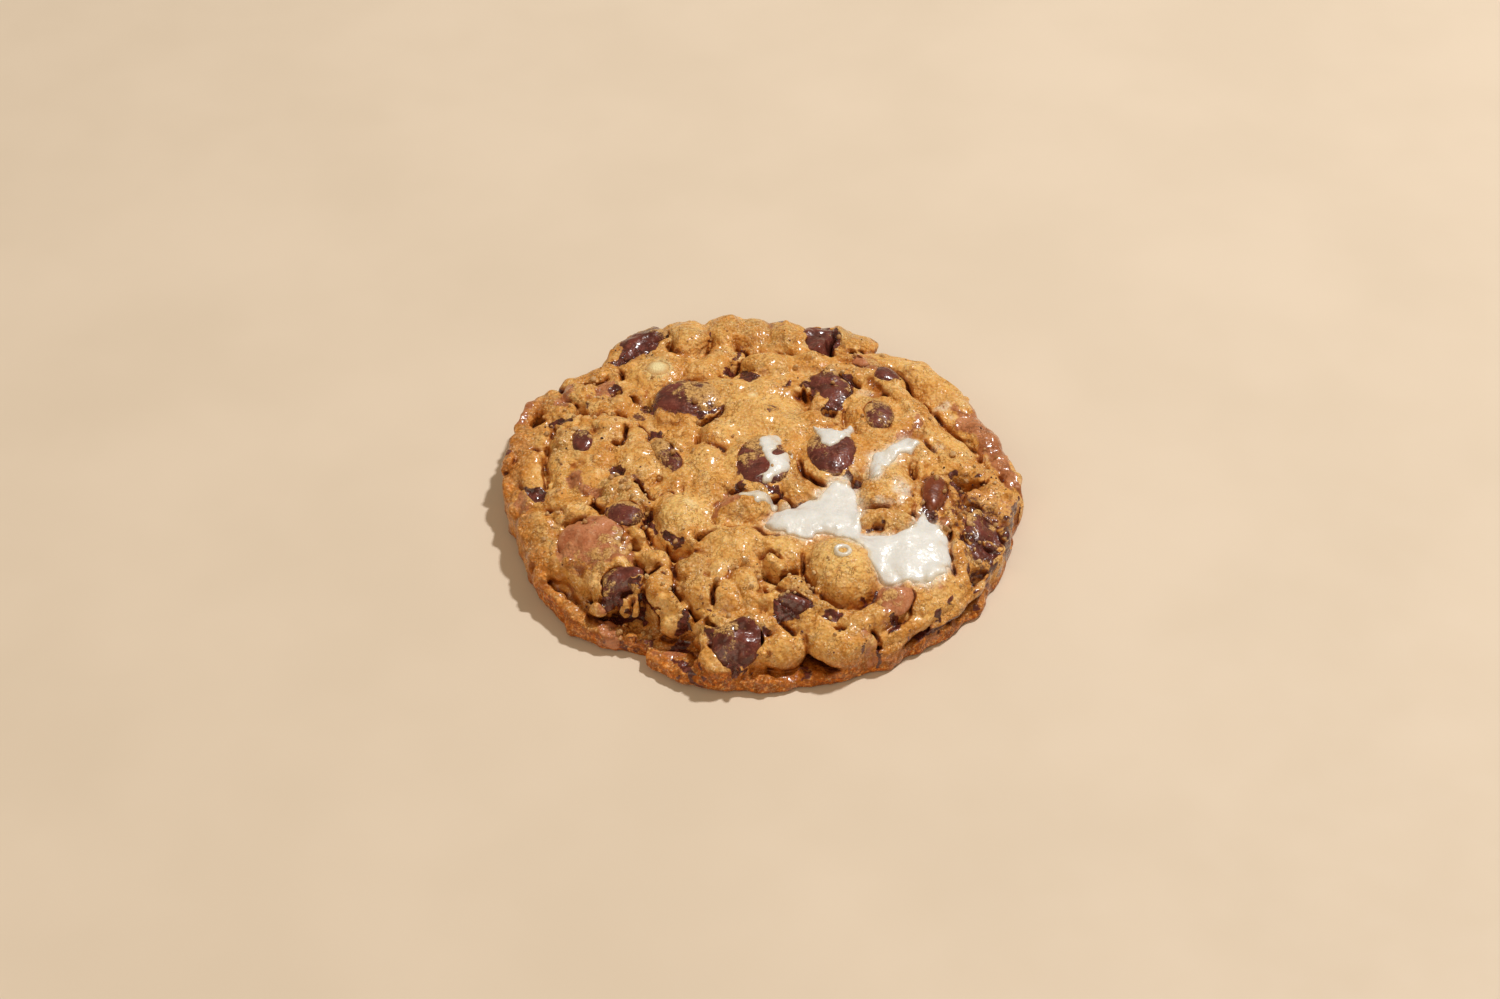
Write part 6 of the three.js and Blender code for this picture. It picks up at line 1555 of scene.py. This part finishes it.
# -------------------------------------------------------------- materials ---
class Shade:
    def __init__(self, name):
        self.mat = bpy.data.materials.new(name)
        self.mat.use_nodes = True
        self.nt = self.mat.node_tree
        self.nt.nodes.clear()
        self.out = self.nt.nodes.new("ShaderNodeOutputMaterial")
        self.bsdf = self.nt.nodes.new("ShaderNodeBsdfPrincipled")
        self.nt.links.new(self.bsdf.outputs[0], self.out.inputs[0])
        tc = self.nt.nodes.new("ShaderNodeTexCoord")
        self.co = tc.outputs["Object"]

    def link(self, a, b):
        if isinstance(a, (int, float)):
            b.default_value = a
        elif isinstance(a, tuple):
            b.default_value = a if len(a) == 4 else (*a, 1.0)
        else:
            self.nt.links.new(a, b)

    def attr(self, name):
        n = self.nt.nodes.new("ShaderNodeAttribute")
        n.attribute_name = name
        return n.outputs["Fac"]

    def noise(self, mm, detail=3.0, rough=0.55, offset=0.0, distort=0.0):
        """Noise whose features are about so many millimetres across, 0..1."""
        co = self.co
        if offset:
            m = self.nt.nodes.new("ShaderNodeVectorMath")
            m.operation = "ADD"
            self.nt.links.new(co, m.inputs[0])
            m.inputs[1].default_value = (offset, offset * 0.7, -offset)
            co = m.outputs[0]
        n = self.nt.nodes.new("ShaderNodeTexNoise")
        self.nt.links.new(co, n.inputs["Vector"])
        n.inputs["Scale"].default_value = 1.0 / (mm * MM)
        n.inputs["Detail"].default_value = detail
        n.inputs["Roughness"].default_value = rough
        n.inputs["Distortion"].default_value = distort
        return n.outputs["Fac"]

    def cells(self, mm, offset=0.0):
        n = self.nt.nodes.new("ShaderNodeTexVoronoi")
        m = self.nt.nodes.new("ShaderNodeVectorMath")
        m.operation = "ADD"
        self.nt.links.new(self.co, m.inputs[0])
        m.inputs[1].default_value = (offset, -offset, offset * 0.3)
        self.nt.links.new(m.outputs[0], n.inputs["Vector"])
        n.inputs["Scale"].default_value = 1.0 / (mm * MM)
        return n.outputs["Distance"]

    def ramp(self, v, a, b, lo=0.0, hi=1.0):
        n = self.nt.nodes.new("ShaderNodeMapRange")
        n.interpolation_type = "SMOOTHSTEP"
        self.link(v, n.inputs["Value"])
        for k, w in (("From Min", a), ("From Max", b), ("To Min", lo), ("To Max", hi)):
            n.inputs[k].default_value = w
        return n.outputs[0]

    def math(self, op, a, b=0.0, clamp=False):
        n = self.nt.nodes.new("ShaderNodeMath")
        n.operation = op
        n.use_clamp = clamp
        self.link(a, n.inputs[0])
        self.link(b, n.inputs[1])
        return n.outputs[0]

    def mix(self, fac, a, b, mode="MIX"):
        n = self.nt.nodes.new("ShaderNodeMix")
        n.data_type = "RGBA"
        n.blend_type = mode
        self.link(fac, n.inputs[0])
        self.link(a, n.inputs[6])
        self.link(b, n.inputs[7])
        return n.outputs[2]

    def bump(self, height, amount_mm, strength=1.0, under=None):
        n = self.nt.nodes.new("ShaderNodeBump")
        n.inputs["Strength"].default_value = strength
        n.inputs["Distance"].default_value = amount_mm * MM
        self.link(height, n.inputs["Height"])
        if under is not None:
            self.link(under, n.inputs["Normal"])
        return n.outputs[0]

    def set(self, **kw):
        names = {"color": "Base Color", "rough": "Roughness", "normal": "Normal",
                 "sub": "Subsurface Weight", "sub_scale": "Subsurface Scale",
                 "coat": "Coat Weight", "coat_rough": "Coat Roughness",
                 "coat_normal": "Coat Normal",
                 "spec": "Specular IOR Level"}
        for k, v in kw.items():
            self.link(v, self.bsdf.inputs[names[k]])


def dough_material():
    m = Shade("cookie_dough")
    big = m.noise(9.0, 2, 0.5)
    mid = m.noise(3.4, 3, 0.5, 0.31)
    fine = m.noise(1.1, 3, 0.55, 0.53)
    grain = m.noise(0.55, 2, 0.6, 0.77)
    c = m.mix(m.ramp(big, 0.36, 0.64), (0.73, 0.325, 0.066), (0.85, 0.45, 0.120))
    c = m.mix(m.ramp(mid, 0.50, 0.68, 0.0, 0.80), c, (0.91, 0.565, 0.215))
    c = m.mix(m.ramp(mid, 0.32, 0.46, 0.65, 0.0), c, (0.60, 0.225, 0.032))
    c = m.mix(m.math("MULTIPLY", m.attr("light"), m.ramp(fine, 0.25, 0.6, 0.55, 1.0)),
              c, (0.93, 0.585, 0.195))
    # khaki dough tone, partly painted shade on the back roll
    k = m.math("MULTIPLY", m.attr("khaki_and_shade"), m.ramp(mid, 0.30, 0.58))
    free = m.math("MULTIPLY", m.ramp(m.noise(5.6, 3, 0.6, 1.3), 0.50, 0.66),
                  m.ramp(fine, 0.40, 0.60))
    k = m.math("MAXIMUM", k, m.math("MULTIPLY", free, 0.65))
    c = m.mix(m.math("MULTIPLY", k, 0.85), c,
              m.mix(m.ramp(grain, 0.38, 0.62), (0.42, 0.215, 0.055), (0.74, 0.43, 0.145)))
    # toasted crust colour; on undersides and the lower front it is partly painted shade
    toast_and_shade = m.math("MULTIPLY", m.attr("toast_and_shade"), m.ramp(mid, 0.25, 0.6, 0.75, 1.0))
    c = m.mix(toast_and_shade, c, m.mix(m.ramp(fine, 0.38, 0.62), (0.22, 0.030, 0.003),
                              m.mix(m.ramp(grain, 0.44, 0.66), (0.60, 0.135, 0.008),
                                    (0.90, 0.34, 0.050))))
    # fine mottling
    c = m.mix(m.ramp(fine, 0.34, 0.50, 0.45, 0.0), c, (0.50, 0.165, 0.018))
    c = m.mix(m.ramp(grain, 0.56, 0.72, 0.0, 0.45), c, (0.96, 0.72, 0.38))
    c = m.mix(m.ramp(grain, 0.30, 0.44, 0.30, 0.0), c, (0.40, 0.13, 0.012))
    # thin wrinkles, darkened along their valleys as painted shade, and pale flecks, partly sugary grains in
    # the dough and partly painted glints
    away = m.math("ABSOLUTE", m.math("SUBTRACT", m.noise(1.7, 2, 0.55, 4.4), 0.5))
    wrinkle_and_shade = m.math("MULTIPLY", m.ramp(away, 0.0, 0.024, 1.0, 0.0),
                     m.ramp(m.noise(4.2, 2, 0.5, 6.1), 0.42, 0.58))
    # painted shade along the wrinkle valleys
    c = m.mix(m.math("MULTIPLY", wrinkle_and_shade, 0.55), c, (0.36, 0.100, 0.008))
    sugar_and_glint = m.math("MULTIPLY", m.ramp(m.noise(0.46, 1.0, 0.5, 11.3), 0.585, 0.655),
                   m.ramp(m.noise(2.8, 2, 0.5, 12.7), 0.44, 0.58, 0.06, 1.0))
    # pale flecks: partly sugar grains, partly painted glints
    c = m.mix(m.math("MULTIPLY", m.math("MULTIPLY", sugar_and_glint, 0.50),
                     m.ramp(toast_and_shade, 0.2, 0.9, 1.0, 0.35)), c, (1.0, 0.78, 0.48))
    flecks = m.math("MULTIPLY", m.ramp(m.cells(1.2, 0.9), 0.08, 0.18, 1.0, 0.0),
                    m.math("MAXIMUM", m.math("MULTIPLY", m.attr("khaki_and_shade"), 0.9),
                           m.ramp(m.noise(3.1, 2, 0.5, 2.2), 0.58, 0.68, 0.0, 0.3)))
    c = m.mix(m.math("MULTIPLY", flecks, 0.35), c, (0.26, 0.09, 0.02))
    # painted shade: darker, redder colour in crevices, near black in the deepest
    crevice_shade = m.attr("painted_crevice_shade")
    c = m.mix(m.ramp(crevice_shade, 0.14, 0.50, 0.0, 0.90), c, (0.38, 0.095, 0.005))
    c = m.mix(m.ramp(crevice_shade, 0.46, 0.82, 0.0, 0.94), c, (0.11, 0.018, 0.003))
    c = m.mix(m.math("MULTIPLY", m.attr("pale"), 0.92), c, (0.97, 0.80, 0.43))
    milk = m.ramp(m.math("ADD", m.attr("milk"), m.math("MULTIPLY", m.math(
        "SUBTRACT", fine, 0.5), 1.3)), 0.25, 0.80)
    c = m.mix(m.math("MULTIPLY", milk, 0.92), c,
              m.mix(m.ramp(mid, 0.35, 0.65), (0.38, 0.110, 0.036),
                    (0.58, 0.22, 0.095)))
    # dark chocolate colour; in places painted crevice shadow
    dark = m.ramp(m.math("ADD", m.attr("dark"), m.math("MULTIPLY", m.math(
        "SUBTRACT", fine, 0.5), 1.4)), 0.32, 0.66)
    c = m.mix(dark, c, m.mix(m.ramp(fine, 0.4, 0.7), (0.075, 0.013, 0.009),
                             (0.20, 0.044, 0.030)))
    base = m.attr("base")
    c = m.mix(base, c, m.mix(m.ramp(mid, 0.35, 0.7), (0.36, 0.115, 0.018),
                             (0.60, 0.25, 0.045)))
    # whitish marshmallow glaze, partly painted glints
    glaze_and_glint = m.math("MULTIPLY", m.math("MULTIPLY", m.attr("glaze_and_glint"),
                                      m.ramp(base, 0.0, 0.6, 1.0, 0.0)),
                   m.ramp(fine, 0.3, 0.55, 0.3, 0.8))
    c = m.mix(glaze_and_glint, c, (0.93, 0.80, 0.64))
    wet = m.math("MAXIMUM", dark, m.math("MAXIMUM", milk, glaze_and_glint))
    rough = m.ramp(m.noise(2.2, 3, 0.6, 3.1), 0.38, 0.62, 0.42, 0.62)
    rough = m.math("SUBTRACT", rough, m.math("MULTIPLY", wet, 0.22))
    shine = m.ramp(m.noise(3.0, 2, 0.5, 9.7), 0.42, 0.62, 0.05, 0.85)
    shine = m.math("MAXIMUM", shine, wet)
    shine = m.math("MULTIPLY", shine, m.ramp(base, 0.0, 1.0, 1.0, 0.2))
    soft = m.math("ADD", m.noise(1.5, 1.0, 0.5, 5.3),
                  m.math("MULTIPLY", m.noise(0.62, 0.0, 0.5, 6.7), 0.25))
    glints = m.noise(2.0, 1.0, 0.5, 7.9)
    soft = m.math("SUBTRACT", soft, m.math("MULTIPLY", wrinkle_and_shade, 0.16))
    m.set(color=c, rough=rough, normal=m.bump(soft, 0.85, 1.0), spec=0.22, sub=0.12,
          coat=shine, coat_rough=0.19, coat_normal=m.bump(glints, 0.66, 1.0))
    m.bsdf.inputs["Specular Tint"].default_value = (1.0, 0.88, 0.66, 1.0)
    m.bsdf.inputs["Subsurface Radius"].default_value = (1.0, 0.38, 0.13)
    m.bsdf.inputs["Subsurface Scale"].default_value = 0.0016
    return m.mat


def chocolate_material(name, deep, bright, glow, rough_lo, rough_hi, coat=0.0,
                       relief=1.0):
    m = Shade(name)
    big = m.noise(3.6, 3, 0.55)
    fine = m.noise(0.9, 3, 0.6, 0.4)
    grain = m.noise(0.45, 2, 0.6, 0.9)
    c = m.mix(m.ramp(big, 0.32, 0.68), deep, bright)
    c = m.mix(m.ramp(m.noise(1.2, 4, 0.65, 1.7), 0.50, 0.70, 0.0, 0.6), c, glow)
    c = m.mix(m.ramp(grain, 0.32, 0.44, 0.5, 0.0), c, tuple(0.5 * v for v in deep))
    crumb = m.mix(m.ramp(fine, 0.36, 0.62), (0.46, 0.225, 0.055), (0.76, 0.42, 0.130))
    crumb = m.mix(m.ramp(grain, 0.54, 0.68, 0.0, 0.5), crumb, (0.92, 0.66, 0.32))
    crumb = m.mix(m.ramp(grain, 0.34, 0.45, 0.45, 0.0), crumb, (0.34, 0.14, 0.035))
    dust = m.ramp(m.math("ADD", m.math("ADD", m.attr("dust"), m.math("MULTIPLY", m.math(
        "SUBTRACT", fine, 0.5), 1.2)), m.math("MULTIPLY", m.math(
            "SUBTRACT", grain, 0.5), 1.3)), 0.30, 0.95)
    specks = m.math("MULTIPLY", m.ramp(m.cells(0.8, 0.7), 0.14, 0.24, 1.0, 0.0),
                    m.ramp(m.noise(2.1, 2, 0.5, 2.9), 0.48, 0.58))
    cover = m.math("MAXIMUM", dust, m.math("MULTIPLY", specks, 0.3))
    c = m.mix(m.math("MULTIPLY", cover, 0.92), c, crumb)
    # painted shade: chocolate near black in crevices
    c = m.mix(m.ramp(m.attr("painted_crevice_shade"), 0.40, 0.90, 0.0, 0.6), c, (0.05, 0.011, 0.005))
    rough = m.ramp(m.noise(1.6, 3, 0.6, 4.1), 0.35, 0.65, rough_lo, rough_hi)
    rough = m.math("MAXIMUM", rough, m.math("MULTIPLY", cover, 0.50))
    h = m.math("ADD", m.math("MULTIPLY", m.noise(1.2, 1.0, 0.5, 7.3),
                             m.ramp(cover, 0, 1, 0.45 * relief, 0.9)),
               m.math("MULTIPLY", m.noise(0.6, 0.0, 0.5, 8.1),
                      m.ramp(cover, 0, 1, 0.22 * relief, 0.45)))
    glints = m.noise(1.7, 1.0, 0.5, 7.9)
    m.set(color=c, rough=rough, normal=m.bump(h, 0.45, 1.0), spec=0.34,
          coat=m.ramp(m.noise(2.4, 2, 0.5, 6.1), 0.40, 0.62, 0.45 * coat, coat),
          coat_rough=0.19, coat_normal=m.bump(glints, 0.40 * relief, 1.0))
    m.bsdf.inputs["Specular Tint"].default_value = (1.0, 0.90, 0.84, 1.0)
    return m.mat


def white_chip_material():
    """Cream in its middle, sinking into the dough's colour at its edge."""
    m = Shade("white_chocolate")
    fine = m.noise(1.0, 3, 0.6, 0.4)
    grain = m.noise(0.40, 3, 0.65, 0.9)
    dough_c = m.mix(m.ramp(fine, 0.35, 0.62), (0.52, 0.235, 0.055), (0.74, 0.42, 0.135))
    c = m.mix(m.ramp(m.math("ADD", m.attr("edge"), m.math("MULTIPLY", m.math(
        "SUBTRACT", fine, 0.5), 0.5)), 0.22, 0.85), (0.97, 0.80, 0.42), dough_c)
    c = m.mix(m.ramp(grain, 0.34, 0.45, 0.25, 0.0), c, (0.55, 0.30, 0.09))
    m.set(color=c, rough=m.ramp(fine, 0.3, 0.7, 0.35, 0.55),
          normal=m.bump(m.math("ADD", fine, grain), 0.25, 1.0), spec=0.5)
    return m.mat


def marshmallow_material():
    m = Shade("marshmallow")
    big = m.noise(3.4, 3, 0.55)
    fine = m.noise(0.9, 3, 0.6, 0.6)
    c = m.mix(m.ramp(big, 0.35, 0.68), (0.80, 0.775, 0.725), (0.87, 0.85, 0.805))
    film = m.math("MULTIPLY", m.attr("film"), m.ramp(fine, 0.3, 0.6, 0.45, 1.0))
    c = m.mix(m.math("MULTIPLY", film, 0.7), c, (0.74, 0.58, 0.36))
    rough = m.ramp(m.noise(1.4, 3, 0.6, 2.1), 0.35, 0.65, 0.30, 0.50)
    h = m.math("ADD", m.math("MULTIPLY", m.noise(1.6, 2, 0.5, 1.1), 1.0),
               m.math("MULTIPLY", m.noise(0.5, 2, 0.5, 1.9), 0.35))
    m.set(color=c, rough=rough, normal=m.bump(h, 0.26, 0.9), spec=0.45, sub=0.35,
          coat=0.6, coat_rough=0.17,
          coat_normal=m.bump(m.noise(2.0, 1.0, 0.5, 5.1), 0.45, 1.0))
    m.bsdf.inputs["Subsurface Radius"].default_value = (1.0, 0.85, 0.7)
    m.bsdf.inputs["Subsurface Scale"].default_value = 0.0010
    return m.mat


def crumb_material(name, a, b):
    m = Shade(name)
    fine = m.noise(0.5, 3, 0.6)
    c = m.mix(m.attr("tone"), a, b)
    c = m.mix(m.ramp(fine, 0.35, 0.6, 0.45, 0.0), c, tuple(0.45 * v for v in a))
    m.set(color=c, rough=m.ramp(fine, 0.3, 0.7, 0.45, 0.7),
          normal=m.bump(fine, 0.15, 0.8), spec=0.5)
    return m.mat


mat_dough = dough_material()
mat_dark = chocolate_material("dark_chocolate", (0.085, 0.015, 0.009), (0.185, 0.037, 0.024),
                              (0.32, 0.095, 0.060), 0.30, 0.46, coat=0.90)
mat_milk = chocolate_material("milk_chocolate", (0.46, 0.140, 0.052), (0.62, 0.235, 0.102),
                              (0.74, 0.38, 0.21), 0.34, 0.50, coat=0.75, relief=1.3)
mat_milk_dark = chocolate_material("melted_milk_chocolate", (0.13, 0.024, 0.007),
                                   (0.24, 0.052, 0.016), (0.36, 0.10, 0.038), 0.24, 0.36,
                                   coat=0.5, relief=0.4)
mat_white = white_chip_material()
mat_marsh = marshmallow_material()


def finish_piece(ob, mat, node=None):
    ob.data.materials.clear()
    ob.data.materials.append(mat)
    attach(ob, "root")
    if node:
        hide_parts(node)


finish_piece(dough, mat_dough, "cookie_dough")
for ch in CHIP_LIST:
    mat = {"dark": mat_dark, "melt": mat_dark, "shards": mat_dark,
           "milkmelt": mat_milk, "milk_dark": mat_milk_dark, "white": mat_white}[ch.kind]
    finish_piece(chip_objects[ch.name], mat, ch.name)
finish_piece(pool, mat_marsh, "marshmallow_pool")
finish_piece(string, mat_marsh, "marshmallow_string")
finish_piece(smears, mat_marsh)
finish_piece(crumbs, crumb_material("dough_crumbs", (0.50, 0.24, 0.075),
                                    (0.78, 0.50, 0.22)))
finish_piece(specks, crumb_material("chocolate_crumbs", (0.07, 0.022, 0.014),
                                    (0.16, 0.05, 0.03)))


# ------------------------------------------------------- floor and light ----
def build_floor():
    me = bpy.data.meshes.new("floor")
    s = 3.0
    me.from_pydata([(-s, -s, 0), (s, -s, 0), (s, s, 0), (-s, s, 0)], [], [(0, 1, 2, 3)])
    ob = bpy.data.objects.new("floor", me)
    bpy.context.scene.collection.objects.link(ob)
    m = Shade("floor")
    n = m.noise(60.0, 3, 0.5)
    c = m.mix(m.ramp(n, 0.3, 0.7), (0.762, 0.628, 0.478), (0.802, 0.664, 0.512))
    m.set(color=c, rough=m.ramp(m.noise(9.0, 3, 0.5, 0.4), 0.3, 0.7, 0.62, 0.75),
          normal=m.bump(m.noise(1.5, 2, 0.5), 0.03, 0.4), spec=0.3)
    me.materials.append(m.mat)
    return ob


build_floor()


def area_light(name, direction, distance, size, watts, colour):
    data = bpy.data.lights.new(name, "AREA")
    data.shape = "DISK"
    data.size = size
    data.energy = watts
    data.color = colour
    ob = bpy.data.objects.new(name, data)
    d = Vector(direction).normalized()
    ob.location = d * distance
    ob.rotation_euler = d.to_track_quat("Z", "Y").to_euler()
    bpy.context.scene.collection.objects.link(ob)
    return ob


area_light("key", (0.46, 0.32, 1.0), 1.6, 0.12, 19.2, (0.95, 0.955, 0.96))
area_light("fill", (-0.35, -0.75, 0.75), 1.8, 1.4, 6.8, (1.0, 0.86, 0.66))

world = bpy.data.worlds.new("studio")
bpy.context.scene.world = world
world.use_nodes = True
bg = world.node_tree.nodes["Background"]
bg.inputs["Color"].default_value = (1.0, 0.83, 0.60, 1.0)
bg.inputs["Strength"].default_value = 0.26

cam_data = bpy.data.cameras.new("camera")
cam_data.lens = 60.0
cam_data.sensor_width = 36.0
cam_data.clip_start = 0.01
camera = bpy.data.objects.new("camera", cam_data)
camera.location = (-0.0024287, -0.4299725, 0.4001142)
camera.rotation_euler = (math.radians(47.3), 0.0, 0.0)
bpy.context.scene.collection.objects.link(camera)
bpy.context.scene.camera = camera
bpy.context.scene.view_settings.view_transform = "Standard"
bpy.context.scene.view_settings.look = "None"

bpy.context.view_layer.update()
